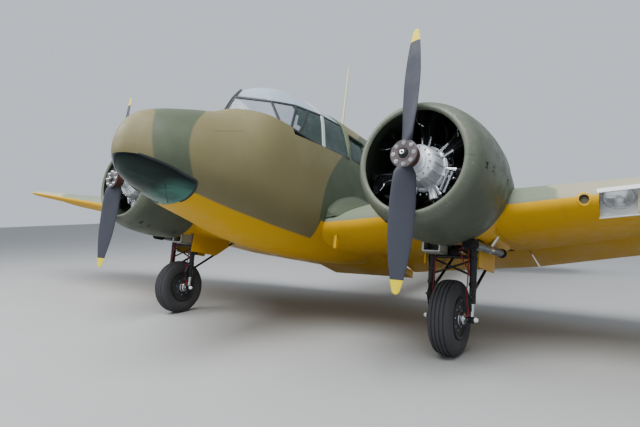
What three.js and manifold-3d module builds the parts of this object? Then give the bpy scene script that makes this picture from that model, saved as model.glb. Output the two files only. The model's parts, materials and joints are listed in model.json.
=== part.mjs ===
// Twin-engine, low-wing wooden trainer aeroplane of the 1930s, standing on its main wheels and tail wheel.
// Millimetres. The datum is level: x to port, y aft, z up, with the origin midway between the main wheels.
// The whole aeroplane then leans back on its tail wheel, so that it stands nose up as it parks.
import * as THREE from 'three';
import { mergeVertices } from 'three/addons/utils/BufferGeometryUtils.js';
import Module from 'manifold-3d';

const wasm = await Module();
wasm.setup();

// Driving dimensions
const span = 16256;
const overallLength = 10516;
const noseY = -2745;
const tailY = noseY + overallLength;
const halfTrack = 2167;
const groundAngle = THREE.MathUtils.degToRad(13);
const gap = 0.3;
const runningGap = 6;
const lugGap = 0.8;
const wall = 40;

// Fuselage: one row for each section, in the order y, half width, top, bottom, widest height,
// and how square the upper and the lower half are (2 is an ellipse)
const bodyColumns = ['y', 'half', 'top', 'bottom', 'wide', 'upper', 'lower'];
const bodyRows = [
  [noseY, 30, 1270, 1190, 1230, 2, 2],
  [-2710, 150, 1425, 1070, 1225, 2, 2],
  [-2615, 265, 1560, 950, 1220, 2, 2],
  [-2410, 390, 1672, 858, 1210, 2, 2],
  [-2100, 500, 1785, 780, 1195, 2.1, 2.1],
  [-1660, 592, 1945, 700, 1200, 2.1, 2.2],
  [-1200, 645, 2380, 610, 1220, 2.7, 2.4],
  [-600, 690, 2520, 560, 1250, 2.8, 2.6],
  [80, 700, 2560, 550, 1280, 2.8, 2.6],
  [800, 700, 2560, 570, 1300, 2.8, 2.6],
  [1650, 680, 2525, 655, 1330, 2.7, 2.5],
  [2400, 645, 2475, 720, 1360, 2.6, 2.4],
  [3400, 575, 2395, 840, 1420, 2.5, 2.3],
  [4400, 480, 2312, 1000, 1500, 2.4, 2.2],
  [5400, 375, 2230, 1190, 1590, 2.3, 2.1],
  [6200, 280, 2165, 1375, 1690, 2.2, 2],
  [7000, 130, 2090, 1560, 1800, 2, 2],
];
const noseJointY = -1660;
const roofJointY = 80;
const tailJointY = 3400;
const sternY = 7000;
const bodySides = 32;

// Canopy: for each frame, the foot, shoulder, haunch and crown, each as y, x, z. The feet stand on the sill
const sillPoints = [
  [-1800, 2023], [-1560, 1980], [-1233, 1921], [-1070, 1900], [-1040, 1830], [-420, 1855], [300, 1893],
];
const canopyColumns = ['foot', 'shoulder', 'haunch', 'crown'];
const canopyRows = [
  [[-1560, 24], [-1458, 24, 2185], [-1365, 12, 2320], [-1360, 0, 2325]],
  [[-1233, 540], [-1190, 350, 2190], [-1120, 200, 2400], [-1100, 0, 2475]],
  [[-1069, 582], [-870, 445, 2255], [-840, 250, 2480], [-830, 0, 2550]],
  [[-470, 638], [-390, 490, 2310], [-385, 230, 2535], [-380, 0, 2590]],
  [[roofJointY, 664], [roofJointY, 487, 2345], [roofJointY, 250, 2532], [roofJointY, 0, 2560]],
];
const frameDepth = 20;
const glassThickness = 7;
const frameBar = 30;

// Chin window in the nose, as y and z of its side view
const chinWindow = [
  [-2900, 1135], [-2655, 1123], [-2560, 1100], [-2400, 1064], [-2256, 1020], [-2162, 997],
  [-2134, 957], [-2118, 907], [-2111, 841], [-2128, 797], [-2170, 500], [-2900, 500],
];

// Cabin windows behind the canopy, with one strip of glass let into the inside of the wall behind them,
// and the entry door on the starboard side
const cabinWindows = {
  edges: [[150, 580], [660, 1120], [1200, 1660], [1740, 2160]],
  fromZ: 1905,
  toZ: 2245,
};
const strip = { rim: 20, depth: 10 };
const entryDoor = { fromY: 2420, toY: 3080, fromZ: 1120, toZ: 2130, travelX: 60 };

// Wing: chord falls outboard of the nacelle; dihedral is smaller inboard of the outer panel's joint
const wingIncidence = THREE.MathUtils.degToRad(3.3);
const wingJointX = 2620;
const wingColumns = ['s', 'lead', 'height', 'chord', 'thickness'];
const wingRows = [
  [400, -340, 921, 2630, 0.215],
  [wingJointX, -283, 1117, 2490, 0.222],
  [5100, -121, 1408, 1872, 0.16],
  [7560, 40, 1701, 1260, 0.12],
  [7880, 130, 1739, 1090, 0.115],
  [8060, 270, 1761, 830, 0.1],
  [span / 2, 480, 1769, 420, 0.09],
];
const wingCamber = 0.045;
const edgeThickness = 16;
const jackPad = { x: 1350, y: 250, z: 741 };

// Fillet between the wing root and the fuselage: y, its top on the fuselage side, and how far out it reaches
const filletColumns = ['y', 'top', 'reach'];
const filletRows = [
  [-330, 1150, 800],
  [-280, 1200, 880],
  [-93, 1320, 1050],
  [395, 1450, 1150],
  [1000, 1385, 1120],
  [1550, 1190, 1000],
  [1950, 1010, 880],
];

// Control surfaces of the wing: stations along the span and the hinge as a part of the chord
const aileron = { from: 5120, to: 7520, hinge: () => 0.76, lugs: [5500, 7150] };
const flapHinge = 0.745;
const flapDroop = THREE.MathUtils.degToRad(14);
const flapThickness = 16;
const flapColumns = ['name', 'from', 'to'];
const flapRows = [
  ['inner', 745, 2590],
  ['outer', 2670, 5080],
];

// Tail
const tailColumns = ['s', 'lead', 'chord', 'thickness'];
const tailplaneHeight = 2010;
const tailplaneRows = [
  [60, 5480, 1520, 0.12],
  [2100, 5740, 1150, 0.1],
  [2480, 5850, 930, 0.09],
  [2660, 6010, 620, 0.08],
  [2720, 6150, 330, 0.08],
];
const elevatorHingeY = 6400;
const elevatorInner = 262;
const elevatorOuter = 2600;
const rudderHingeY = 7062;
const finRows = [
  [2040, 5540, 2180, 0.075],
  [2500, 5900, tailY - 5900, 0.08],
  [3150, 6270, 1400, 0.09],
  [3420, 6480, 1110, 0.09],
  [3550, 6760, 700, 0.08],
];
const rudderFootRows = [
  [1600, 6950, 640, 0.12],
  [2040, 6950, 780, 0.12],
];

// Engines
const thrustHeight = 1350;
const cylinderCount = 7;
const cylinderY = -860;
const cylinderTip = 585;
const cowlSegments = 28;
const cowlProfile = [
  [-1250, 470], [-1270, 495], [-1250, 530], [-1180, 570], [-1050, 610], [-850, 640], [-600, 650],
  [-320, 636], [-320, 622], [-360, 622], [-600, 636], [-850, 626], [-1050, 596], [-1180, 552], [-1225, 515],
];
const nacelleColumns = ['y', 'half', 'top', 'bottom', 'wide', 'upper', 'lower'];
const nacelleRows = [
  [-345, 621.7, thrustHeight + 621.7, thrustHeight - 621.7, thrustHeight, 2, 2],
  [-315, 621.7, thrustHeight + 621.7, thrustHeight - 621.7, thrustHeight, 2, 2],
  [-80, 600, 1935, 748, 1340, 2, 2],
  [350, 545, 1850, 715, 1280, 2, 2],
  [850, 460, 1700, 725, 1180, 2, 2],
  [1250, 365, 1530, 790, 1110, 2, 2],
  [1560, 270, 1390, 955, 1060, 2, 2],
  [1850, 185, 1250, 935, 1010, 2, 2],
  [2200, 60, 1045, 920, 960, 2, 2],
];
const bay = { half: 290, fromY: -150, toY: 1520, top: 1045 };

// Propeller
const propRadius = 1205;
const hubFrontY = -1440;
const bladeColumns = ['radius', 'chord', 'thickness', 'pitch'];
const bladeRows = [
  [60, 120, 100, -50],
  [200, 135, 84, -45],
  [420, 195, 52, -34],
  [700, 228, 36, -26],
  [950, 205, 25, -21],
  [1090, 160, 17, -18],
  [1165, 105, 12, -16],
  [propRadius, 40, 8, -15],
];

// Undercarriage
const tyreRadius = 396;
const tyreHalfWidth = 132;
const rimRadius = 212;
const wheelSegments = 28;
const axleRadius = 26;
const axleHalf = 276;
const legOffset = 225;
const legTopY = -55;
const legTopZ = 985;
const tailTyreRadius = 150;
const tailWheelSegments = 16;
const tailWheelY = 6500;
const tailTrail = 55;
const tailForkHalf = 78;
const tailAxleRadius = 12;

const paints = {
  earth: [0x7d7562, 0.75, 0],
  green: [0x5b6357, 0.75, 0],
  yellow: [0xd79a12, 0.55, 0],
  blackPaint: [0x1b1c1e, 0.5, 0.2],
  steel: [0xb9bcc0, 0.3, 0.9],
  rubber: [0x26262a, 0.85, 0],
  glass: [0xaebfca, 0.1, 0],
  darkGlass: [0x1d3534, 0.12, 0],
  propBlue: [0x555866, 0.55, 0],
  hubGrey: [0x6b655e, 0.4, 0.6],
  exhaustGrey: [0x8d9094, 0.5, 0.7],
  cabinGreen: [0x5f7a63, 0.7, 0],
  leather: [0x4a3426, 0.7, 0],
};

const pairUp = (columns, row) => Object.fromEntries(row.map((value, i) => [columns[i], value]));
const named = (columns, rows) => rows.map((row) => pairUp(columns, row));
const sides = [['left', 1], ['right', -1]];

// Solids: geometry to closed solid and back
function toSolid(geometry) {
  const bare = geometry.clone();
  bare.deleteAttribute('normal');
  bare.deleteAttribute('uv');
  const merged = mergeVertices(bare, 1e-3);
  const vertProperties = new Float32Array(merged.attributes.position.array);
  const triVerts = new Uint32Array(merged.index.array);
  return new wasm.Manifold(new wasm.Mesh({ numProp: 3, vertProperties, triVerts }));
}

function fromSolid(solid) {
  const mesh = solid.getMesh();
  const geometry = new THREE.BufferGeometry();
  const positions = new Float32Array(mesh.numVert * 3);
  for (let i = 0; i < mesh.numVert; i += 1) {
    for (let k = 0; k < 3; k += 1) positions[3 * i + k] = mesh.vertProperties[i * mesh.numProp + k];
  }
  geometry.setAttribute('position', new THREE.BufferAttribute(positions, 3));
  geometry.setIndex(new THREE.BufferAttribute(new Uint32Array(mesh.triVerts), 1));
  return geometry;
}

const join = (...parts) => fromSolid(parts.map(toSolid).reduce((a, b) => a.add(b)));
const cut = (body, ...tools) => fromSolid(tools.map(toSolid).reduce((a, b) => a.subtract(b), toSolid(body)));
const keep = (body, tool) => fromSolid(toSolid(body).intersect(toSolid(tool)));

function volumeOf(positions, index) {
  let volume = 0;
  const a = new THREE.Vector3();
  const b = new THREE.Vector3();
  const c = new THREE.Vector3();
  for (let i = 0; i < index.length; i += 3) {
    a.fromArray(positions, 3 * index[i]);
    b.fromArray(positions, 3 * index[i + 1]);
    c.fromArray(positions, 3 * index[i + 2]);
    volume += a.dot(b.cross(c)) / 6;
  }
  return volume;
}

// A closed body through rings of points, each ring with the same number of points, with flat ends
function loft(rings, flat = 'xz') {
  const count = rings[0].length;
  const positions = rings.flat().flatMap((p) => [p.x, p.y, p.z]);
  const index = [];
  for (let r = 0; r + 1 < rings.length; r += 1) {
    for (let i = 0; i < count; i += 1) {
      const j = (i + 1) % count;
      const [a, b, c, d] = [r * count + i, r * count + j, (r + 1) * count + j, (r + 1) * count + i];
      index.push(a, b, c, a, c, d);
    }
  }
  const outline = rings[0].map((p) => new THREE.Vector2(p[flat[0]], p[flat[1]]));
  const turned = THREE.ShapeUtils.isClockWise(outline);
  const last = (rings.length - 1) * count;
  const lastOutline = rings.at(-1).map((p) => new THREE.Vector2(p[flat[0]], p[flat[1]]));
  const side = (start, points, flip) => {
    for (const [a, b, c] of THREE.ShapeUtils.triangulateShape(points, [])) {
      if (flip) index.push(start + a, start + c, start + b);
      else index.push(start + a, start + b, start + c);
    }
  };
  // The side faces run along the ring, so the first cap runs against it and the last one with it
  const forward = ringRunsWith(rings[0], flat, turned);
  side(0, outline, forward);
  side(last, lastOutline, !forward);
  const geometry = new THREE.BufferGeometry();
  geometry.setAttribute('position', new THREE.Float32BufferAttribute(positions, 3));
  if (volumeOf(positions, index) < 0) {
    for (let i = 0; i < index.length; i += 3) [index[i], index[i + 1]] = [index[i + 1], index[i]];
  }
  geometry.setIndex(index);
  return geometry;
}

// Whether the ear-cut triangles of a ring run the same way round as the ring itself
function ringRunsWith(ring, flat, turned) {
  const points = ring.map((p) => new THREE.Vector2(p[flat[0]], p[flat[1]]));
  const [[a, b, c]] = THREE.ShapeUtils.triangulateShape(points, []);
  const area = (points[b].x - points[a].x) * (points[c].y - points[a].y)
    - (points[c].x - points[a].x) * (points[b].y - points[a].y);
  return (area > 0) === !turned;
}

const vec = (x, y, z) => new THREE.Vector3(x, y, z);

function box(fromX, toX, fromY, toY, fromZ, toZ) {
  const geometry = new THREE.BoxGeometry(toX - fromX, toY - fromY, toZ - fromZ);
  return geometry.translate((fromX + toX) / 2, (fromY + toY) / 2, (fromZ + toZ) / 2);
}

// A round bar between two points
function rod(from, to, radius, segments = 10, endRadius = radius) {
  const along = to.clone().sub(from);
  const geometry = new THREE.CylinderGeometry(endRadius, radius, along.length(), segments);
  const turn = new THREE.Quaternion().setFromUnitVectors(vec(0, 1, 0), along.clone().normalize());
  geometry.applyQuaternion(turn);
  return geometry.translate(...from.clone().add(to).multiplyScalar(0.5).toArray());
}

// A turned body about the y axis from rows of y and radius
function turned(profile, segments) {
  const points = profile.map(([y, radius]) => new THREE.Vector2(radius, y));
  const closed = points[0].x < 1e-6 ? points : [...points, points[0].clone()];
  const geometry = new THREE.LatheGeometry(closed, segments);
  const merged = prepared(geometry);
  return merged;
}

// A plain indexed copy with merged points and outward faces
function prepared(geometry) {
  const bare = geometry.clone();
  bare.deleteAttribute('normal');
  bare.deleteAttribute('uv');
  const merged = mergeVertices(bare, 1e-3);
  const index = [];
  const source = merged.index.array;
  for (let i = 0; i < source.length; i += 3) {
    const [a, b, c] = [source[i], source[i + 1], source[i + 2]];
    if (a !== b && b !== c && c !== a) index.push(a, b, c);
  }
  if (volumeOf(merged.attributes.position.array, index) < 0) {
    for (let i = 0; i < index.length; i += 3) [index[i], index[i + 1]] = [index[i + 1], index[i]];
  }
  merged.setIndex(index);
  return merged;
}

function mirrored(geometry) {
  const copy = geometry.clone().scale(-1, 1, 1);
  const index = copy.index.array;
  for (let i = 0; i < index.length; i += 3) [index[i], index[i + 1]] = [index[i + 1], index[i]];
  return copy;
}

// A side view outline of y and z, carried across from one x to another
function acrossSpan(outline, fromX, toX) {
  return loft([fromX, toX].map((x) => outline.map(([y, z]) => vec(x, y, z))), 'yz');
}

// A section of a squared ellipse about a given middle
function ovalRing(row, inset = 0, middleX = 0, count = bodySides) {
  const ring = [];
  for (let i = 0; i < count; i += 1) {
    const angle = (2 * Math.PI * i) / count;
    const [c, s] = [Math.cos(angle), Math.sin(angle)];
    const power = 2 / (s >= 0 ? row.upper : row.lower);
    const reach = (s >= 0 ? row.top - row.wide : row.wide - row.bottom) - inset;
    const x = (row.half - inset) * Math.sign(c) * Math.abs(c) ** power;
    const z = row.wide + Math.max(reach, 1) * Math.sign(s) * Math.abs(s) ** power;
    ring.push(vec(middleX + x, row.y, z));
  }
  return ring;
}

function between(rows, key, value) {
  const i = Math.max(1, rows.findIndex((row) => row[key] >= value));
  const last = rows.findIndex((row) => row[key] >= value) < 0;
  const [a, b] = last ? [rows.at(-2), rows.at(-1)] : [rows[i - 1], rows[i]];
  const t = (value - a[key]) / (b[key] - a[key]);
  return Object.fromEntries(Object.keys(a).map((name) => [name, a[name] + (b[name] - a[name]) * t]));
}

const bodySections = named(bodyColumns, bodyRows);

function bodyLoft(fromY, toY, inset = 0) {
  const inner = bodySections.filter((row) => row.y > fromY + 1 && row.y < toY - 1).map((row) => row.y);
  return loft([fromY, ...inner, toY].map((y) => ovalRing(between(bodySections, 'y', y), inset)));
}

const group = new THREE.Group();
const airframe = new THREE.Group();
airframe.rotation.x = -groundAngle;
group.add(airframe);

function add(name, geometry, paint, pivot = vec(0, 0, 0), parent = airframe) {
  const [color, roughness, metalness] = paints[paint];
  const placed = geometry.clone().translate(-pivot.x, -pivot.y, -pivot.z);
  const mesh = new THREE.Mesh(placed, new THREE.MeshStandardMaterial({ color, roughness, metalness }));
  mesh.name = name;
  mesh.position.copy(pivot);
  parent.add(mesh);
  return mesh;
}

// Fuselage shells
const sillAt = (y) => {
  const rows = sillPoints.map(([at, z]) => ({ at, z }));
  return between(rows, 'at', y).z;
};
const canopyFrames = named(canopyColumns, canopyRows);

// One canopy frame as a ring, moved inwards by an inset; its feet are lowered by drop
function canopyRing(frame, inset, drop, first, last) {
  const half = ['foot', 'shoulder', 'haunch', 'crown'].map((key) => {
    const [y, x, z] = frame[key];
    const height = key === 'foot' ? sillAt(y) + gap : z - inset;
    const back = first ? inset * 1.6 : 0;
    const forward = last ? -gap + (inset > frameDepth + gap ? 20 : 0) : 0;
    const reach = key === 'crown' ? 0 : Math.max(x - inset * 1.15, key === 'haunch' ? 1.5 : 3);
    return vec(reach, y + back + forward, height);
  });
  const [foot, shoulder] = half;
  foot.add(foot.clone().sub(shoulder).multiplyScalar(drop / (shoulder.z - foot.z)));
  return [...half, ...half.slice(0, 3).reverse().map((p) => vec(-p.x, p.y, p.z))];
}

function canopyLoft(inset, drop) {
  return loft(canopyFrames.map((frame, i) => canopyRing(frame, inset, drop, i === 0, i === 4)));
}

// A prism through a panel: its corners pulled in by a bar's width and carried both ways along its normal
function panePrism(corners, pull, depth) {
  const centre = corners.reduce((a, p) => a.add(p), vec(0, 0, 0)).multiplyScalar(1 / corners.length);
  const [along, up] = [corners[1], corners.at(-1)].map((corner) => corner.clone().sub(corners[0]));
  const normal = along.cross(up).normalize();
  const inner = corners.map((p) => {
    const inward = centre.clone().sub(p);
    return p.clone().add(inward.multiplyScalar((pull * 1.5) / inward.length()));
  });
  const axes = [['y', 'z'], ['x', 'z'], ['x', 'y']];
  const size = [normal.x, normal.y, normal.z].map(Math.abs);
  const flat = axes[size.indexOf(Math.max(...size))].join('');
  return loft([-depth, depth].map((d) => inner.map((p) => p.clone().addScaledVector(normal, d))), flat);
}

const canopyPanes = [];
for (let i = 0; i + 1 < canopyFrames.length; i += 1) {
  const point = (frame, key, side) => {
    const [y, x, z] = frame[key];
    return vec(side * x, y, key === 'foot' ? sillAt(y) : z);
  };
  for (const [, side] of sides) {
    const [p, q] = [canopyFrames[i], canopyFrames[i + 1]];
    const corners = (low, high) => [[p, low], [q, low], [q, high], [p, high]]
      .map(([frame, key]) => point(frame, key, side));
    canopyPanes.push(panePrism(corners('foot', 'shoulder'), frameBar, 60));
    canopyPanes.push(panePrism(corners('shoulder', 'crown'), frameBar, 120));
  }
}

const belowSill = (lowering) => acrossSpan([
  ...sillPoints.map(([y, z]) => [y, z - lowering]), [300, 0], [-1800, 0],
], -900, 900);
const canopyFrameShape = cut(
  canopyLoft(0, 160), canopyLoft(frameDepth, 160), belowSill(-gap), ...canopyPanes,
);

const noseShape = cut(bodyLoft(noseY, noseJointY - gap), bodyLoft(noseY + 85, noseJointY + 50, wall));
const chinCutter = acrossSpan(chinWindow, -800, 800);
// The glass is shifted down and forward, so that it stops short of the opening's top and back edges
const chinGlassOutline = chinWindow.map(([y, z]) => [y - 2 * gap, z - gap]);
const chinGlass = keep(noseShape, acrossSpan(chinGlassOutline, -790, 790));

const canopyGlassShape = cut(canopyLoft(frameDepth + gap, 160), canopyLoft(frameDepth + glassThickness, 160),
  belowSill(-gap));
const cabinOuter = keep(bodyLoft(noseJointY, roofJointY - gap), belowSill(0));
const cabinHollow = keep(bodyLoft(noseJointY - 60, roofJointY + 60, wall), belowSill(wall));

const rearHollow = bodyLoft(roofJointY - 60, tailJointY + 60, wall);
const rearOuter = bodyLoft(roofJointY, tailJointY - gap);
const windowCutters = cabinWindows.edges.map(([from, to]) => box(-900, 900, from, to,
  cabinWindows.fromZ, cabinWindows.toZ));
const stripBox = (inset) => box(-900, 900, cabinWindows.edges[0][0] - strip.rim + inset,
  cabinWindows.edges.at(-1)[1] + strip.rim - inset, cabinWindows.fromZ - strip.rim + inset,
  cabinWindows.toZ + strip.rim - inset);
const rearRoomAt = (inset) => bodyLoft(roofJointY - 60, tailJointY + 60, inset);
const rearLayer = (from, to) => cut(rearRoomAt(from), rearRoomAt(to));
const glassSeat = keep(rearLayer(wall - strip.depth, wall + 20), stripBox(0));
const glassStrip = keep(rearLayer(wall - strip.depth + gap, wall), stripBox(gap));
const doorCutter = (grow) => box(250, 900, entryDoor.fromY - grow, entryDoor.toY + grow,
  entryDoor.fromZ - grow, entryDoor.toZ + grow);
const rearShell = cut(rearOuter, rearHollow);

// Lifting surfaces: a station has s along the span, lead (y of its leading edge), chord and thickness
function halfThickness(fraction) {
  const f = fraction;
  return 5 * (0.2969 * Math.sqrt(f) - 0.126 * f - 0.3516 * f ** 2 + 0.2843 * f ** 3 - 0.1036 * f ** 4);
}

const camberAt = (fraction, camber) => camber * 4 * fraction * (1 - fraction);

function surfaceHeights(station, fraction, camber) {
  const middle = camberAt(fraction, camber) * station.chord;
  const half = Math.max(halfThickness(fraction) * station.thickness * station.chord, edgeThickness / 2);
  return { middle, half };
}

const chordSteps = [1, 0.8, 0.62, 0.45, 0.3, 0.18, 0.09, 0.035, 0.008];
const sharpUpTo = 0.01;

// Section points as distance aft of the leading edge and height above the chord line
function foilSection(station, camber, to = 1) {
  const steps = chordSteps.map((f) => f * to);
  const point = (f, side) => {
    const { middle, half } = surfaceHeights(station, f, camber);
    const thin = halfThickness(f) * station.thickness * station.chord;
    return [f * station.chord, middle + side * (f < sharpUpTo ? thin : half)];
  };
  return [...steps.map((f) => point(f, 1)), [0, 0], ...steps.slice().reverse().map((f) => point(f, -1))];
}

const noseSides = 8;

// Section of a hinged surface: a round nose about the hinge, then on to the trailing edge
function flapSection(station, hinge, camber, grow = 0) {
  const { middle, half } = surfaceHeights(station, hinge(station), camber);
  const centre = [hinge(station) * station.chord, middle];
  const nose = [];
  for (let i = 0; i <= noseSides; i += 1) {
    const angle = Math.PI / 2 + (Math.PI * i) / noseSides;
    nose.push([centre[0] + (half + grow) * Math.cos(angle), centre[1] + (half + grow) * Math.sin(angle)]);
  }
  const edge = surfaceHeights(station, 1, camber);
  if (grow === 0) {
    return [[station.chord, edge.middle + edge.half], ...nose, [station.chord, edge.middle - edge.half]];
  }
  const far = station.chord + 200;
  return [[far, 400], [centre[0], 400], ...nose, [centre[0], -400], [far, -400]];
}

function hingeOf(station, hinge, camber) {
  const { middle, half } = surfaceHeights(station, hinge(station), camber);
  return { aft: hinge(station) * station.chord, up: middle, radius: half };
}

// How a section's own two directions lie in the aeroplane
const wingPlace = (station) => ([aft, up]) => vec(
  station.s,
  station.lead + aft * Math.cos(wingIncidence) + up * Math.sin(wingIncidence),
  station.height - aft * Math.sin(wingIncidence) + up * Math.cos(wingIncidence),
);
const tailPlace = (station) => ([aft, up]) => vec(station.s, station.lead + aft, tailplaneHeight + up);
const finPlace = (station) => ([aft, up]) => vec(up, station.lead + aft, station.s);

function stationsBetween(rows, from, to) {
  const inner = rows.filter((row) => row.s > from + 1 && row.s < to - 1).map((row) => row.s);
  return [from, ...inner, to].map((s) => between(rows, 's', s));
}

function surface(stations, place, section, flat) {
  return loft(stations.map((station) => section(station).map(place(station))), flat);
}

// A hinge lug that stands in front of a round nose
function lug(rows, at, hinge, camber, place, width, flat) {
  const ring = (s) => {
    const station = between(rows, 's', s);
    const axis = hingeOf(station, hinge, camber);
    const fromAft = axis.aft - axis.radius - runningGap - 30;
    const toAft = axis.aft - axis.radius - lugGap;
    const corners = [[fromAft, -12], [toAft, -12], [toAft, 12], [fromAft, 12]];
    return corners.map(([aft, up]) => place(station)([aft, axis.up + up]));
  };
  return loft([ring(at - width / 2), ring(at + width / 2)], flat);
}

const wingStations = named(wingColumns, wingRows);
const wingFoil = (station) => foilSection(station, wingCamber);
const bodySolidGrown = bodyLoft(noseY + 40, tailJointY + 300, -gap);

// Centre wing from the fuselage side to the joint, and the outer panel
const wingBetween = (from, to) => surface(stationsBetween(wingStations, from, to), wingPlace, wingFoil, 'yz');
const innerFoil = wingBetween(400, wingJointX - gap / 2);
const outerFoil = wingBetween(wingJointX + gap / 2, span / 2);

// Split flap: a thin plate below the trailing edge, hinged at its front edge, drawn shut and then drooped
function flapPlate(station, grow) {
  const radius = flapThickness / 2;
  const line = (f) => {
    const { middle, half } = surfaceHeights(station, f, wingCamber);
    return [f * station.chord, middle - half + radius];
  };
  const [front, back] = [line(flapHinge), line(1)];
  const rise = Math.atan2(back[1] - front[1], back[0] - front[0]);
  const length = Math.hypot(back[0] - front[0], back[1] - front[1]);
  const along = (d, h) => [
    front[0] + d * Math.cos(rise) - h * Math.sin(rise),
    front[1] + d * Math.sin(rise) + h * Math.cos(rise),
  ];
  if (grow > 0) {
    const [top, bottom] = [radius + grow, -90];
    const [start, end] = [-radius - grow, length + 60];
    return [along(start, bottom), along(start, top), along(end, top - 3), along(end, bottom)];
  }
  const nose = [0, 1, 2, 3, 4].map((i) => Math.PI / 2 + (Math.PI * i) / 4)
    .map((angle) => along(radius * Math.cos(angle), radius * Math.sin(angle)));
  return [...nose, along(length, -radius), along(length, -radius * 0.3)];
}

function flapAxis(from, to) {
  const at = (s) => {
    const station = between(wingStations, 's', s);
    const { middle, half } = surfaceHeights(station, flapHinge, wingCamber);
    return wingPlace(station)([flapHinge * station.chord, middle - half + flapThickness / 2]);
  };
  const [a, b] = [at(from), at(to)];
  return { point: a.clone().add(b).multiplyScalar(0.5), direction: b.clone().sub(a).normalize() };
}

const flaps = named(flapColumns, flapRows).map((flap) => {
  const stations = [flap.from, flap.to].map((s) => between(wingStations, 's', s));
  const wide = [flap.from - 10, flap.to + 10].map((s) => between(wingStations, 's', s));
  return {
    ...flap,
    plate: surface(stations, wingPlace, (station) => flapPlate(station, 0), 'yz'),
    recess: surface(wide, wingPlace, (station) => flapPlate(station, 9), 'yz'),
    axis: flapAxis(flap.from, flap.to),
  };
});

// The centre flap lies flat under the fuselage
const centreFlap = { half: 690, hingeY: 1660, hingeZ: 641, length: 600, rise: THREE.MathUtils.degToRad(5) };
const centreFlapShape = (() => {
  const { half, hingeY, hingeZ, length, rise } = centreFlap;
  const radius = flapThickness / 2;
  const along = (d, h) => [
    hingeY + d * Math.cos(rise) - h * Math.sin(rise),
    hingeZ + d * Math.sin(rise) + h * Math.cos(rise),
  ];
  const nose = [0, 1, 2, 3, 4].map((i) => Math.PI / 2 + (Math.PI * i) / 4)
    .map((angle) => along(radius * Math.cos(angle), radius * Math.sin(angle)));
  return acrossSpan([...nose, along(length, -radius), along(length, -radius * 0.3)], -half, half);
})();
const centreFlapLugs = [-150, 150].map((x) => box(x - 20, x + 20, centreFlap.hingeY - 60,
  centreFlap.hingeY - flapThickness / 2 - lugGap, centreFlap.hingeZ - 8, 690));

// Flap hinge blocks: small lugs in the recess that meet the plate's nose
function flapLug(s) {
  const ring = (at) => {
    const station = between(wingStations, 's', at);
    const { middle, half } = surfaceHeights(station, flapHinge, wingCamber);
    const radius = flapThickness / 2;
    const [aft, up] = [flapHinge * station.chord, middle - half + radius];
    return [[-50, -6], [-radius - lugGap, -6], [-radius - lugGap, 6], [-50, 6]]
      .map(([a, u]) => wingPlace(station)([aft + a, up + u]));
  };
  return loft([ring(s - 20), ring(s + 20)], 'yz');
}

// The root fillet's section at each y: up the fuselage side, in a hollow curve to the wing, and back inside
const wingTopAt = (s, y) => {
  const station = between(wingStations, 's', s);
  const fraction = Math.min((y - station.lead) / station.chord, 1);
  const { middle, half } = surfaceHeights(station, Math.max(fraction, 0.02), wingCamber);
  return wingPlace(station)([fraction * station.chord, middle + half]).z;
};
const fillet = loft(named(filletColumns, filletRows).map(({ y, top, reach }) => {
  const [inner, bend] = [600, 760];
  const low = wingTopAt(bend, y);
  return [
    vec(inner, y, top), vec(bend, y, low + (top - low) * 0.45),
    vec(reach, y, wingTopAt(reach, y) - 3), vec(inner, y, wingTopAt(inner, y) - 40),
  ];
}), 'xz');

const bayBox = box(halfTrack - bay.half, halfTrack + bay.half, bay.fromY, bay.toY, 0, bay.top);
const centreWingShape = join(
  cut(innerFoil, flaps[0].recess, bayBox),
  fillet,
  ...[900, 1700, 2500].map(flapLug),
  rod(vec(jackPad.x, jackPad.y, jackPad.z + 45), vec(jackPad.x, jackPad.y, jackPad.z), 60, 12),
);

// The aileron, or with a gap the room that it takes out of the wing
function aileronBody(from, to, grow) {
  const stations = [from, ...aileron.lugs, to].map((s) => between(wingStations, 's', s));
  return surface(stations, wingPlace, (s) => flapSection(s, aileron.hinge, wingCamber, grow), 'yz');
}
const aileronShape = aileronBody(aileron.from, aileron.to, 0);
const aileronGap = aileronBody(aileron.from - 12, aileron.to + 12, runningGap);
const aileronLugs = aileron.lugs
  .map((s) => lug(wingStations, s, aileron.hinge, wingCamber, wingPlace, 40, 'yz'));

function axisThrough(rows, place, hinge, camber, from, to) {
  const at = (s) => {
    const station = between(rows, 's', s);
    const axis = hingeOf(station, hinge, camber);
    return place(station)([axis.aft, axis.up]);
  };
  const [a, b] = [at(from), at(to)];
  return { point: a.clone().add(b).multiplyScalar(0.5), direction: b.clone().sub(a).normalize() };
}

const aileronAxis = axisThrough(wingStations, wingPlace, aileron.hinge, wingCamber, aileron.from, aileron.to);

// Two landing lamps behind a clear cover in the port leading edge, with a plate between them
const lampBay = { from: 3530, to: 4140, depthY: 20, below: 190, above: 27, roof: 130 };
const leadingEdgeAt = (s) => between(wingStations, 's', s).height;
const lampRoom = (inset, fromY, above) => loft([lampBay.from + inset, lampBay.to - inset].map((s) => {
  const [low, high] = [-lampBay.below, above].map((z) => leadingEdgeAt(s) + z);
  const toY = lampBay.depthY - inset;
  const corners = [[fromY, low + inset], [toY, low + inset], [toY, high - inset], [fromY, high - inset]];
  return corners.map(([y, z]) => vec(s, y, z));
}), 'yz');
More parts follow.
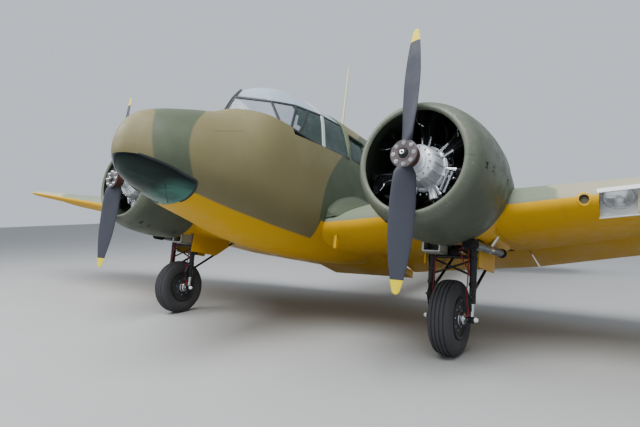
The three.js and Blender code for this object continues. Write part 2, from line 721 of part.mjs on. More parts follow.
// The wing's own shape moved back and up, for what lies behind its skin or behind the cover
const foilBehind = (y, z) => outerFoil.clone().translate(0, y, z);
const lampOpening = (inset) => lampRoom(inset, -600, lampBay.above);
const lampCavity = keep(foilBehind(25, 0), lampRoom(0, -600, lampBay.roof));
const lampCoverShape = cut(keep(outerFoil, lampOpening(gap)), foilBehind(10, 4));
const dishProfile = [[0, 0], [0, 60], [-60, 112], [-60, 104], [-12, 48], [-12, 0]];
const dishes = [[3682, 0.95, -6], [3995, 0.84, -2]].map(([s, size, rise]) => turned(dishProfile, 18)
  .scale(size, 1, size).translate(s, lampBay.depthY - 20, leadingEdgeAt(s) + rise));
const behindCover = foilBehind(16, 6);
const lampDivider = keep(keep(behindCover, lampOpening(2)),
  box(3831, 3841, -600, lampBay.depthY - 15, 0, 3000));
const lampPlate = keep(behindCover, lampRoom(gap, lampBay.depthY - 24, 105));
const lamps = join(lampPlate, ...dishes, lampDivider);

const outerCut = cut(outerFoil, flaps[1].recess, aileronGap);
const outerLugs = [...aileronLugs, ...[2850, 3880, 4900].map(flapLug)];
const outerWingRight = join(outerCut, ...outerLugs);
// Beside the lamps the port leading edge has a small round hole
const edgeHole = rod(vec(3420, -400, 1195), vec(3420, -140, 1195), 42, 14);
const outerWingLeft = cut(outerWingRight, lampOpening(0), lampCavity, edgeHole);

// Nacelle, engine and cowl for the port side; the starboard ones are their mirror images
const nacelleSections = named(nacelleColumns, nacelleRows);
const nacelleRing = (row, inset) => ovalRing(row, inset, halfTrack, cowlSegments);
const nacelleLoft = (inset) => loft(nacelleSections.map((row) => nacelleRing(row, inset)));
// The wing with a gap all round it, carried on behind its trailing edge
const grownFoil = (station) => wingFoil(station).map(([aft, up], i, all) => {
  const atBack = i === 0 || i === all.length - 1;
  return [aft + (atBack ? 300 : -gap), up + (up >= 0 ? gap : -gap)];
});
const wingGrown = surface(stationsBetween(wingStations, 400, 5100), wingPlace, grownFoil, 'yz');
const scoop = box(halfTrack - 247, halfTrack - 45, -300, -70, 652, 830);
const nacelleShape = cut(join(nacelleLoft(0), scoop), wingGrown, bayBox);

const cowlShape = turned(cowlProfile, cowlSegments).translate(halfTrack, 0, thrustHeight);

const crankcaseProfile = [
  [-345.3, 0], [-345.3, 330], [-560, 300], [-640, 250], [-760, 250], [-930, 235], [-1000, 200],
  [-1110, 185], [-1170, 150], [-1200, 110], [-1240, 82], [-1300, 75], [-1300, 0],
];
const cylinderProfile = [[215, 0], [215, 96], [440, 104], [440, 120], [cylinderTip, 88], [cylinderTip, 0]];

function cylinder(index) {
  const angle = (2 * Math.PI * index) / cylinderCount;
  const barrel = turned(cylinderProfile, 8).rotateX(Math.PI / 2).translate(0, cylinderY, 0);
  const pushrods = [-1, 1].map((side) => rod(vec(side * 55, cylinderY - 95, 190),
    vec(side * 78, cylinderY - 75, 545), 14, 4));
  const rockers = box(-109, 109, cylinderY - 105, cylinderY + 60, 505, 575);
  return [barrel, ...pushrods, rockers].map((shape) => shape.rotateY(angle));
}

const cylinders = Array.from({ length: cylinderCount }, (_, i) => cylinder(i)).flat();
const engineShape = join(turned(crankcaseProfile, 14), ...cylinders).translate(halfTrack, 0, thrustHeight);

// Propeller: two blades on one boss, and a bolted front plate on the shaft
const bladeStations = named(bladeColumns, bladeRows);

function bladeRing(station, side) {
  const pitch = THREE.MathUtils.degToRad(station.pitch);
  const ring = [];
  for (let i = 0; i < 12; i += 1) {
    const angle = (2 * Math.PI * i) / 12;
    const along = (Math.cos(angle) * station.chord) / 2;
    const across = (Math.sin(angle) * station.thickness) / 2;
    const x = along * Math.cos(pitch) - across * Math.sin(pitch);
    const y = along * Math.sin(pitch) + across * Math.cos(pitch);
    ring.push(vec(side * x, y, side * station.radius));
  }
  return ring;
}

const bladeY = hubFrontY + 62;
const blades = [1, -1].map((side) => loft(bladeStations.map((station) => bladeRing(station, side)), 'xy'));
const bossBack = -1300 - gap - bladeY;
const boss = turned([[-48, 0], [-48, 112], [48, 112], [48, 85], [bossBack, 85], [bossBack, 0]], 20);
const bolts = Array.from({ length: 8 }, (_, i) => {
  const angle = (2 * Math.PI * (i + 0.5)) / 8;
  const at = vec(96 * Math.cos(angle), 0, 96 * Math.sin(angle));
  return rod(at.clone().setY(-52), at.clone().setY(-78), 13, 6);
});
const hubPlate = join(turned([[-62, 0], [-62, 134], [-44, 134], [-44, 0]], 20),
  turned([[-96, 0], [-96, 30], [-60, 40], [-60, 0]], 10), ...bolts);
const propellerShape = join(boss, ...blades, hubPlate);

// Undercarriage of the port side, about the middle of its wheel
function undercarriage() {
  const parts = [rod(vec(-axleHalf, 0, 0), vec(axleHalf, 0, 0), axleRadius, 10)];
  const wallX = bay.half - gap;
  parts.push(rod(vec(-wallX, legTopY, legTopZ), vec(wallX, legTopY, legTopZ), 38, 8));
  parts.push(rod(vec(-wallX, 900, 905), vec(wallX, 900, 905), 26, 6));
  parts.push(rod(vec(-legOffset, -35, 640), vec(legOffset, -35, 640), 20, 6));
  for (const side of [-1, 1]) {
    const x = side * legOffset;
    parts.push(rod(vec(x, 0, -45), vec(x, -22, 420), 27, 8));
    parts.push(rod(vec(x, -18, 340), vec(x, legTopY, legTopZ), 38, 8));
    parts.push(rod(vec(x, -26, 430), vec(x, 900, 905), 17, 6));
    parts.push(rod(vec(side * 190, 0, 0), vec(side * (axleHalf + 14), 0, 0), 42, 10));
  }
  return join(...parts).translate(halfTrack, 0, 0);
}

const legsShape = undercarriage();
const doorThickness = 14;
const bayWall = bay.half - gap;
// The outer door hangs inboard of the exhaust pipe, from two arms on the wall of the bay
const outerDoorX = 259;
const outerDoorShape = join(
  box(outerDoorX - doorThickness, outerDoorX, 45, 660, 545, 880),
  ...[110, 560].map((y) => box(outerDoorX - 1, bayWall, y, y + 40, 838, 872)),
);
const innerDoorShape = box(-bayWall, doorThickness - bayWall, -110, 660, 545, 880);
const doorShapes = {
  outer: outerDoorShape.translate(halfTrack, 0, 0),
  inner: innerDoorShape.translate(halfTrack, 0, 0),
};

// A ring about the x axis from rows of x and radius
function wheelTurned(profile, segments) {
  return turned(profile, segments).rotateZ(-Math.PI / 2);
}

const tyreProfile = [
  [-90, rimRadius], [-tyreHalfWidth + 6, 256], [-tyreHalfWidth, 304], [-tyreHalfWidth + 10, 347], [-95, 378],
  [-45, tyreRadius], [45, tyreRadius], [95, 378], [tyreHalfWidth - 10, 347], [tyreHalfWidth, 304],
  [tyreHalfWidth - 6, 256], [90, rimRadius],
];
const wheelBore = axleRadius + 0.5;
const hubProfile = [
  [-150, wheelBore], [-150, 60], [-105, 70], [-112, rimRadius - gap], [112, rimRadius - gap], [105, 70],
  [150, 60], [150, wheelBore],
];
const tyreShape = wheelTurned(tyreProfile, wheelSegments);
const wheelShape = wheelTurned(hubProfile, wheelSegments);

// Exhaust: a collar against the cowl and nacelle, and a pipe that splays outwards with an open end
const nacelleGrown = nacelleLoft(-gap);
const cowlGrown = turned([[-700, 0], [-700, 652], [-600, 650.5], [-319.5, 636.5], [-319.5, 0]], cowlSegments)
  .translate(halfTrack, 0, thrustHeight);
const pipeAt = (y) => vec(halfTrack + 270 + (y + 330) * 0.143, y, 740 + (y + 330) * 0.0202);
const exhaustShape = cut(
  join(rod(pipeAt(-400), pipeAt(-235), 58, 14), rod(pipeAt(-300), pipeAt(465), 44, 14)),
  nacelleGrown, cowlGrown, rod(pipeAt(200), pipeAt(480), 37, 14),
);

// Tail: the fixed surfaces end in front of the hinged ones, with lugs that reach their round noses
const tailStations = named(tailColumns, tailplaneRows);
const finStations = named(tailColumns, finRows);
const rudderStations = named(tailColumns, [...rudderFootRows, ...finRows.slice(1)]);
const elevatorHinge = (station) => (elevatorHingeY - station.lead) / station.chord;
const rudderHinge = (station) => (rudderHingeY - station.lead) / station.chord;

function fixedSection(hinge) {
  return (station) => {
    const axis = hingeOf(station, hinge, 0);
    return foilSection(station, 0, (axis.aft - axis.radius - runningGap) / station.chord);
  };
}

const coneGrown = bodyLoft(tailJointY + 10, sternY + 300, -gap);
const elevatorLugs = [600, 1500, 2300]
  .map((s) => lug(tailStations, s, elevatorHinge, 0, tailPlace, 36, 'yz'));
const fixedTailplane = surface(tailStations, tailPlace, fixedSection(elevatorHinge), 'yz');
const tailplaneShape = join(fixedTailplane, ...elevatorLugs);
const elevatorShape = surface(stationsBetween(tailStations, elevatorInner, elevatorOuter), tailPlace,
  (station) => flapSection(station, elevatorHinge, 0), 'yz');
const finLugs = [2500, 3300].map((s) => lug(finStations, s, rudderHinge, 0, finPlace, 36, 'xy'));
const fixedFin = surface(finStations, finPlace, fixedSection(rudderHinge), 'xy');
const finShape = cut(join(fixedFin, ...finLugs), coneGrown);
const rudderSection = (station) => flapSection(station, rudderHinge, 0);
const rudderShape = surface(rudderStations, finPlace, rudderSection, 'xy');
const footLug = lug(rudderStations, 1720, rudderHinge, 0, finPlace, 36, 'xy');

for (const [name, side] of sides) {
  const hand = (geometry) => (side > 0 ? geometry : mirrored(geometry));
  add(`tailplane_${name}`, cut(hand(tailplaneShape), coneGrown), 'green');
  add(`elevator_${name}`, hand(elevatorShape), 'green', vec(0, elevatorHingeY, tailplaneHeight));
}
add('fin', finShape, 'green');
add('rudder', rudderShape, 'green', vec(0, rudderHingeY, 0));

// Tail wheel: its castor stands upright on the ground, so its group undoes the lean of the airframe
const mainAxleRise = tyreRadius * Math.cos(Math.PI / wheelSegments);
const tailAxleRise = tailTyreRadius * Math.cos(Math.PI / tailWheelSegments);
const tailAxleZ = (tailAxleRise - mainAxleRise + tailWheelY * Math.sin(groundAngle)) / Math.cos(groundAngle);
const castorY = tailWheelY - tailTrail * Math.cos(groundAngle);
const castorZ = tailAxleZ - tailTrail * Math.sin(groundAngle);
const bossFoot = 190;
const forkShape = join(
  box(-tailForkHalf, tailForkHalf, -42, tailTrail + 25, 166, 182),
  rod(vec(0, 0, 175), vec(0, 0, bossFoot - gap), 30, 12),
  rod(vec(-tailForkHalf, tailTrail, 0), vec(tailForkHalf, tailTrail, 0), tailAxleRadius, 8),
  ...[-1, 1].map((side) => {
    const outline = [[-20, 175], [tailTrail - 22, -16], [tailTrail + 22, -16], [tailTrail + 22, 175]];
    return acrossSpan(outline, side * (tailForkHalf - 12), side * tailForkHalf);
  }),
);
const tailTyreShape = wheelTurned([
  [-30, 88], [-48, 104], [-50, 124], [-30, 144], [-12, tailTyreRadius],
  [12, tailTyreRadius], [30, 144], [50, 124], [48, 104], [30, 88],
], tailWheelSegments);
const tailBore = tailAxleRadius + 0.5;
const tailHubShape = wheelTurned([
  [-60, tailBore], [-60, 30], [-34, 36], [-30, 88 - gap], [30, 88 - gap], [34, 36], [60, 30], [60, tailBore],
], tailWheelSegments);
const upright = (shape) => shape.clone().rotateX(groundAngle).translate(0, castorY, castorZ);
add('tail_fork', upright(forkShape), 'blackPaint', vec(0, castorY, castorZ));
const tailWheelPieces = [['tail_tyre', tailTyreShape, 'rubber'], ['tail_wheel', tailHubShape, 'steel']];
for (const [name, shape, paint] of tailWheelPieces) {
  const mesh = add(name, shape, paint);
  mesh.position.set(0, tailWheelY, tailAxleZ);
  mesh.rotation.x = groundAngle + Math.PI / tailWheelSegments;
}
const castorBoss = upright(rod(vec(0, 0, bossFoot), vec(0, 0, 330), 46, 16));
add('tail_cone', join(bodyLoft(tailJointY, sternY), castorBoss, footLug), 'green');

// Aerial mast, floors, seats and controls
const mastFoot = vec(0, 850, 2450);
const mastShape = rod(mastFoot, vec(0, 865, 3710), 27, 12, 14).scale(0.6, 1, 1);
add('aerial_mast', cut(mastShape, bodySolidGrown), 'earth');
const floorTop = 1190;
const frontRoom = keep(bodyLoft(noseJointY + 10, roofJointY - 10, wall + gap), belowSill(wall + gap));
add('cabin_floor', keep(frontRoom, box(-900, 900, -1640, 60, floorTop - 30, floorTop)), 'cabinGreen');
const rearRoom = bodyLoft(roofJointY + 5, tailJointY - 5, wall + gap);
add('rear_floor', keep(rearRoom, box(-900, 900, 90, tailJointY - 10, floorTop - 30, floorTop)), 'cabinGreen');
add('instrument_panel', keep(frontRoom, box(-900, 900, -1190, -1165, 1500, 1870)), 'blackPaint');
const seatShape = join(
  box(-190, 190, -640, -220, floorTop + gap, floorTop + 60),
  box(-210, 210, -660, -200, floorTop + 60, floorTop + 230),
  loft([-205, 205].map((x) => [vec(x, -260, floorTop + 200), vec(x, -130, floorTop + 200),
    vec(x, -40, floorTop + 800), vec(x, -110, floorTop + 800)]), 'yz'),
);
const column = join(
  box(-50, 50, -1070, -970, floorTop + gap, floorTop + 30),
  rod(vec(0, -1020, floorTop + 15), vec(0, -960, floorTop + 480), 22, 8),
  new THREE.TorusGeometry(130, 14, 4, 10).rotateX(Math.PI / 2 - 0.3).translate(0, -950, floorTop + 520),
  rod(vec(-130, -950, floorTop + 520), vec(130, -950, floorTop + 520), 12, 6),
  rod(vec(0, -960, floorTop + 460), vec(0, -950, floorTop + 530), 18, 6),
);
for (const [name, side] of sides) {
  add(`seat_${name}`, seatShape.clone().translate(side * 300, 0, 0), 'leather');
}
const columns = [-300, 300].map((x) => column.clone().translate(x, 0, 0));
const columnLink = rod(vec(-300, -1015, floorTop + 40), vec(300, -1015, floorTop + 40), 14, 6);
add('control_columns', join(...columns, columnLink), 'blackPaint');

// Entry door: drawn to port and mirrored to starboard. It is hinged at its front edge, with knuckles that
// turn beside blocks on the shell
const doorAxis = { x: between(bodySections, 'y', entryDoor.fromY).half + 4, y: entryDoor.fromY - 2 };
const knuckleRadius = 13;
const knuckleHeights = [1240, 1540];
const knuckleLength = 80;
const knuckles = knuckleHeights.map((z) => rod(vec(doorAxis.x, doorAxis.y, z),
  vec(doorAxis.x, doorAxis.y, z + knuckleLength), knuckleRadius, 10));
const knuckleRoom = knuckleHeights.map((z) => box(doorAxis.x - 60, doorAxis.x + 40,
  doorAxis.y - knuckleRadius - lugGap, entryDoor.fromY, z - 4, z + knuckleLength + 4));
const hingeBlocks = knuckleHeights.map((z) => box(doorAxis.x - 30, doorAxis.x + 10,
  doorAxis.y - knuckleRadius - 60, doorAxis.y - knuckleRadius - lugGap, z, z + knuckleLength));
const entryDoorShape = join(keep(rearShell, doorCutter(0)), ...knuckles);
add('entry_door', mirrored(entryDoorShape), 'green', vec(-doorAxis.x, doorAxis.y, 1150));

for (const [name, side] of sides) {
  const hand = (geometry) => (side > 0 ? geometry : mirrored(geometry));
  const at = (point) => vec(side * point.x, point.y, point.z);
  add(`wing_centre_${name}`, cut(hand(centreWingShape), bodySolidGrown), 'yellow');
  add(`wing_outer_${name}`, side > 0 ? outerWingLeft : mirrored(outerWingRight), 'yellow');
  add(`aileron_${name}`, hand(aileronShape), 'yellow', at(aileronAxis.point));
  for (const flap of flaps) {
    const mesh = add(`flap_${flap.name}_${name}`, hand(flap.plate), 'yellow', at(flap.axis.point));
    const direction = vec(flap.axis.direction.x, side * flap.axis.direction.y, side * flap.axis.direction.z);
    mesh.setRotationFromAxisAngle(direction, -flapDroop);
  }
  add(`nacelle_${name}`, hand(nacelleShape), 'green');
  add(`cowl_${name}`, hand(cowlShape), 'green');
  add(`engine_${name}`, hand(engineShape), 'steel');
  add(`exhaust_${name}`, hand(exhaustShape), 'exhaustGrey');
  add(`gear_legs_${name}`, hand(legsShape), 'blackPaint');
  add(`gear_door_outer_${name}`, hand(doorShapes.outer), 'yellow');
  add(`gear_door_inner_${name}`, hand(doorShapes.inner), 'yellow');

  const wheelTurn = groundAngle + Math.PI / wheelSegments;
  for (const [piece, shape, paint] of [['tyre', tyreShape, 'rubber'], ['wheel', wheelShape, 'steel']]) {
    const mesh = add(`${piece}_${name}`, shape, paint);
    mesh.position.set(side * halfTrack, 0, 0);
    mesh.rotation.x = wheelTurn;
  }
  const propeller = add(`propeller_${name}`, propellerShape, 'propBlue');
  propeller.position.set(side * halfTrack, bladeY, thrustHeight);
}

const centreFlapPivot = vec(0, centreFlap.hingeY, centreFlap.hingeZ);
const centreFlapMesh = add('flap_centre', centreFlapShape, 'yellow', centreFlapPivot);
centreFlapMesh.rotation.x = -flapDroop;
add('landing_lamps', lamps, 'steel');
add('lamp_cover', lampCoverShape, 'glass');
add('nose_shell', cut(noseShape, chinCutter), 'earth');
add('chin_window', chinGlass, 'darkGlass');
add('cabin_shell', cut(cabinOuter, cabinHollow, canopyLoft(frameDepth, 160)), 'earth');
add('canopy_frame', canopyFrameShape, 'green');
add('canopy_glass', canopyGlassShape, 'glass');
const doorRoom = [doorCutter(runningGap), ...knuckleRoom].map(mirrored);
const rearOpen = cut(rearShell, ...windowCutters, glassSeat, ...doorRoom);
add('rear_shell', join(rearOpen, ...hingeBlocks.map(mirrored), ...centreFlapLugs), 'green');
for (const [name, side] of sides) {
  const reach = [0, side * 900].sort((a, b) => a - b);
  add(`cabin_window_${name}`, keep(glassStrip, box(...reach, 0, tailJointY, 1500, 2500)), 'glass');
}

// The origin is on the ground, under the middle of the whole aeroplane's box
group.updateMatrixWorld(true);
const whole = new THREE.Box3().setFromObject(group, true);
const middle = whole.getCenter(vec(0, 0, 0));
airframe.position.set(-middle.x, -middle.y, -whole.min.z);

export default group;
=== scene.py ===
import json
from math import atan2, cos, hypot, pi, radians, sin, sqrt
import bmesh
import bpy
import numpy as np
from mathutils import Matrix, Vector


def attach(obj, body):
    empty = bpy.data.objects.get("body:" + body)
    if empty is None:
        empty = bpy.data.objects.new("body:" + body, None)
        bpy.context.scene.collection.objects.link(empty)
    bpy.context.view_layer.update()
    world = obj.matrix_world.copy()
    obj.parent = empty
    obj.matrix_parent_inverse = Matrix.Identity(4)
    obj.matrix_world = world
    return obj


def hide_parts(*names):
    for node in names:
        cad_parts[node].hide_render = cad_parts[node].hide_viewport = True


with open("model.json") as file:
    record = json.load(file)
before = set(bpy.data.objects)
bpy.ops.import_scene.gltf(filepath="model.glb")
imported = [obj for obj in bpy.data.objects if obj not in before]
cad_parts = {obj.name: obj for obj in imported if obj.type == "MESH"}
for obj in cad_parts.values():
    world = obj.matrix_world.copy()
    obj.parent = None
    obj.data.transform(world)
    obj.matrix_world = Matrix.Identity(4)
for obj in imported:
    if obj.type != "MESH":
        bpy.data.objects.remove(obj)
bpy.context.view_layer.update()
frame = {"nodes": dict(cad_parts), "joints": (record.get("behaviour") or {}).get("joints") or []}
joints = {joint["name"]: joint for joint in frame["joints"]}
nodes = frame["nodes"]

# The level datum: x to port, y aft, z up, with its origin midway between the main wheels. The aeroplane leans
# back on its tail wheel from there, by the angle of the propeller shaft.
axle = np.array(joints["wheel_left_turn"]["pos_m"])
shaftAxis = joints["propeller_left_turn"]["axis"]
lean = atan2(-shaftAxis[2], shaftAxis[1])
halfTrack = float(axle[0])
engineZ = 1.35  # height of the shafts in the datum


def placed(points):  # y and z of the level datum are turned by the lean, then moved to the axle
    level = np.asarray(points, float)
    out = level.copy()
    out[..., 1] = axle[1] + cos(lean) * level[..., 1] + sin(lean) * level[..., 2]
    out[..., 2] = axle[2] - sin(lean) * level[..., 1] + cos(lean) * level[..., 2]
    return out


def mirrored(points, side):  # side -1 turns x over
    return np.asarray(points, float) * np.array([side, 1, 1])


def through(rows, at):
    # A smooth curve through rows of (place, values): cubic pieces. The slope at each row is the harmonic mean
    # of the slopes on its two sides, and nought where the values turn back
    rows = np.asarray(rows, float)
    place, value = rows[:, 0], rows[:, 1:]
    step = np.diff(place)[:, None]
    rise = np.diff(value, axis=0) / step
    slope = np.zeros_like(value)
    same = rise[:-1] * rise[1:] > 0
    total = np.where(same, rise[:-1] + rise[1:], 1)
    slope[1:-1] = np.where(same, 2 * rise[:-1] * rise[1:] / total, 0)
    slope[0], slope[-1] = rise[0], rise[-1]
    at = np.asarray(at, float)
    k = np.clip(np.searchsorted(place, at, side="right") - 1, 0, len(step) - 1)
    t = ((at - place[k]) / step[k, 0])[..., None]
    here, there = value[k], value[k + 1]
    return ((1 + 2 * t) * (1 - t) ** 2 * here + t * (1 - t) ** 2 * step[k] * slope[k]
            + t ** 2 * (3 - 2 * t) * there + t ** 2 * (t - 1) * step[k] * slope[k + 1])


def between(rows, at):  # straight lines between rows of (place, values)
    rows = np.asarray(rows, float)
    return np.stack([np.interp(at, rows[:, 0], rows[:, i]) for i in range(1, rows.shape[1])], axis=-1)


def unit(vectors):  # each one at length 1
    return vectors / np.linalg.norm(vectors, axis=-1, keepdims=True)


def circle(count, start=0.0):  # angles once round, the last one short of the first
    return start + np.arange(count) * 2 * pi / count


def levelled(points):  # the other way: from the aeroplane as it stands back to the level datum
    there = np.asarray(points, float)
    out = there.copy()
    dy, dz = there[..., 1] - axle[1], there[..., 2] - axle[2]
    out[..., 1] = cos(lean) * dy - sin(lean) * dz
    out[..., 2] = sin(lean) * dy + cos(lean) * dz
    return out


def blended(a, b, c, d, t):
    # Catmull-Rom from b to c: half of 2b + (c - a) t + (2a - 5b + 4c - d) t^2 + (3b - 3c + d - a) t^3
    return 0.5 * (2 * b + (c - a) * t + (2 * a - 5 * b + 4 * c - d) * t ** 2
                  + (3 * b - 3 * c + d - a) * t ** 3)


def rounded(points, count, closed=False):
    # A smooth curve through the points, evenly stepped in its parameter
    points = np.asarray(points, float)
    if closed:
        padded = np.vstack([points[-1:], points, points[:2]])
        pieces = len(points)
    else:
        padded = np.vstack([2 * points[:1] - points[1:2], points, 2 * points[-1:] - points[-2:-1]])
        pieces = len(points) - 1
    at = np.linspace(0, pieces, count, endpoint=not closed)
    k = np.minimum(at.astype(int), pieces - 1)
    return blended(*(padded[k + step] for step in range(4)), (at - k)[:, None])


def linked(name, data):  # a new object in the scene
    thing = bpy.data.objects.new(name, data)
    bpy.context.scene.collection.objects.link(thing)
    return thing


def bothWays(half):  # a section's half and its mirror image, as (distance from the middle, radius)
    half = np.asarray(half, float)
    return np.vstack([half, half[::-1] * [-1, 1]])


sides = (("left", 1), ("right", -1))


class Shape:
    # Grids of points in the level datum, gathered into one closed mesh

    def __init__(self):
        self.points, self.faces, self.marks, self.count = [], [], [], 0

    def grid(self, points, around=False, ends=False, mark=0):
        # Faces between neighbouring rows and columns. around joins the last column to the first, and ends
        # closes the first and last rows
        points = np.asarray(points, float)
        rows, columns = points.shape[:2]
        index = self.count + np.arange(rows * columns).reshape(rows, columns)
        wide = np.hstack([index, index[:, :1]]) if around else index
        corners = [wide[:-1, :-1], wide[:-1, 1:], wide[1:, 1:], wide[1:, :-1]]
        faces = np.stack(corners, axis=-1).reshape(-1, 4).tolist()
        if ends:
            faces += [index[0][::-1].tolist(), index[-1].tolist()]
        self.points.append(points.reshape(-1, 3))
        self.faces += faces
        self.marks += [mark] * len(faces)
        self.count += rows * columns
        return self

    def solid(self, rings, mark=0):  # closed rings in a row, with both ends shut
        return self.grid(rings, True, True, mark)

    def tube(self, path, radius, sides=12, ends=True, mark=0):
        # A round section carried along a path, square to it
        path = np.asarray(path, float)
        along = unit(np.gradient(path, axis=0))
        across = np.eye(3)[np.argmin(np.abs(along).mean(axis=0))]
        first = unit(np.cross(along, across))
        second = np.cross(along, first)
        radius = np.broadcast_to(np.asarray(radius, float), len(path))[:, None, None]
        angle = circle(sides)[None, :, None]
        ring = np.cos(angle) * first[:, None] + np.sin(angle) * second[:, None]
        return self.grid(path[:, None] + radius * ring, True, ends, mark)

    def rod(self, start, end, radius, sides=14, endRadius=None, edge=0.12, mark=0):
        # A straight bar whose two rims are chamfered by a part of its radius
        start, end = np.asarray(start, float), np.asarray(end, float)
        endRadius = radius if endRadius is None else endRadius
        length = np.linalg.norm(end - start)
        cut = min(edge * radius, length / 4)
        part = np.array([0, cut / length, 1 - cut / length, 1])
        widths = np.array([radius - cut, radius, endRadius, endRadius - cut])
        return self.tube(start + (end - start) * part[:, None], widths, sides, True, mark)

    def rods(self, rows, shift=0.0):  # each row: start, end, radius, sides, mark
        for start, end, radius, sides, mark in rows:
            self.rod(np.array(start) + shift, np.array(end) + shift, radius, sides, mark=mark)
        return self

    def turned(self, profile, centre, axis="y", sides=48, mark=0, closed=True):
        # A profile of (along, radius) turned about a line through centre. A closed one is a ring's section
        profile = np.asarray(profile, float)
        if closed:
            profile = np.vstack([profile, profile[:1]])
        angle = circle(sides)
        along = np.repeat(profile[:, :1], sides, axis=1)
        wide, high = profile[:, 1:] * np.cos(angle), profile[:, 1:] * np.sin(angle)
        order = {"x": (along, wide, high), "y": (wide, along, high), "z": (wide, high, along)}[axis]
        return self.grid(np.stack(order, axis=-1) + np.asarray(centre, float), True, not closed, mark)

    def slab(self, outline, low, high, axis="x", edge=0.003, mark=0):
        # An outline of two columns carried from low to high along an axis, with its rims drawn in by an edge
        outline = np.asarray(outline, float)
        middle = outline.mean(axis=0)
        reach = np.linalg.norm(outline - middle, axis=1, keepdims=True)
        inner = middle + (outline - middle) * (1 - edge / reach)
        levels = [(inner, low), (outline, low + edge), (outline, high - edge), (inner, high)]
        rows = []
        for flat, level in levels:
            third = np.full((len(flat), 1), level)
            columns = {"x": (third, flat), "y": (flat[:, :1], third, flat[:, 1:]), "z": (flat, third)}[axis]
            rows.append(np.hstack(columns))
        return self.grid(np.array(rows), True, True, mark)

    def block(self, low, high, edge=0.003, mark=0):  # a box with softened rims
        outline = roundedOutline(low[1], high[1], low[2], high[2], edge)
        return self.slab(outline, low[0], high[0], "x", edge, mark)

    def strip(self, path, outward, width, low, high, mark=0):
        # A bar of six-sided section laid along a path on a surface whose outward direction is given
        path, outward = np.asarray(path, float), np.asarray(outward, float)
        along = unit(np.gradient(path, axis=0))
        beside = unit(np.cross(outward, along))
        upward = np.cross(along, beside)
        cut = min(0.3 * (high - low), 0.2 * width)
        half = width / 2
        section = np.array([[-half, low], [half, low], [half, high - cut], [half - cut, high],
                            [cut - half, high], [-half, high - cut]])
        ring = path[:, None] + section[:, :1] * beside[:, None] + section[:, 1:] * upward[:, None]
        return self.grid(ring, True, True, mark)

    def made(self, name, colours="", angle=35.0, side=1):
        # The mesh, with doubles merged, faces outwards and edges sharper than the angle kept crisp. Side -1
        # turns it over for the starboard side
        mesh = bpy.data.meshes.new(name)
        mesh.from_pydata(placed(mirrored(np.vstack(self.points), side)).tolist(), [], self.faces)
        for colour in colours.split():
            mesh.materials.append(paints[colour])
        mesh.polygons.foreach_set("material_index", self.marks)
        work = bmesh.new()
        work.from_mesh(mesh)
        bmesh.ops.remove_doubles(work, verts=work.verts, dist=1e-5)
        bmesh.ops.dissolve_degenerate(work, edges=work.edges, dist=1e-6)
        bmesh.ops.recalc_face_normals(work, faces=work.faces)
        work.to_mesh(mesh)
        work.free()
        smoothed(mesh, angle)
        return linked(name, mesh)

    def piece(self, name, colours, slotName, replaced="", body="airframe", angle=35.0, side=1):
        return dressed(self.made(name, colours, angle, side), body, replaced)

    def pair(self, name, colours, slotName, replaced="", body="airframe", angle=35.0):
        # The same piece on both sides: left or right is put where the names have a star
        for word, side in sides:
            own, stoodFor, carrier = (text.replace("*", word) for text in (name, replaced, body))
            self.piece(own, colours, slotName, stoodFor, carrier, angle, side)


def smoothed(mesh, angle=35.0):
    mesh.polygons.foreach_set("use_smooth", [True] * len(mesh.polygons))
    mesh.set_sharp_from_angle(angle=radians(angle))
    mesh.update()


def roundedOutline(fromY, toY, fromZ, toZ, radius, steps=6):
    # A rectangle whose corners are quarter circles
    turn = np.linspace(0, pi / 2, steps)
    corners = [(toY, toZ, 0), (fromY, toZ, 1), (fromY, fromZ, 2), (toY, fromZ, 3)]
    rows = []
    for y, z, quarter in corners:
        angle = turn + quarter * pi / 2
        inwardY, inwardZ = (-1 if y == toY else 1), (-1 if z == toZ else 1)
        rows.append(np.column_stack([y + inwardY * radius + radius * np.cos(angle),
                                     z + inwardZ * radius + radius * np.sin(angle)]))
    return np.vstack(rows)


def carve(piece, tool, operation="DIFFERENCE", mark=0, side=1):
    # Cuts a shape out of the piece, or keeps only what both share. The cut faces get a mark
    tool = tool.made("tool", side=side) if isinstance(tool, Shape) else tool
    tool.data.materials.clear()
    for paint in piece.data.materials:
        tool.data.materials.append(paint)
    tool.data.polygons.foreach_set("material_index", [mark] * len(tool.data.polygons))
    modifier = piece.modifiers.new("carve", "BOOLEAN")
    modifier.operation, modifier.solver, modifier.object = operation, "EXACT", tool
    done = bpy.data.meshes.new_from_object(piece.evaluated_get(bpy.context.evaluated_depsgraph_get()))
    piece.modifiers.clear()
    piece.data = done
    bpy.data.objects.remove(tool)
    smoothed(done)
    return piece


def dressed(piece, body, replaced):
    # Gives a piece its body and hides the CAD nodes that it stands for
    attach(piece, body)
    if replaced:
        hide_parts(*replaced.split())
    return piece


print("stage 1: helpers ready")

camera = {"aside": 3.9209, "ahead": -4.9491, "above": 1.1813, "turn": 34.42, "pitch": -0.67, "roll": -1.16,
          "focal": 482.65, "imageWidth": 640, "sensor": 36}


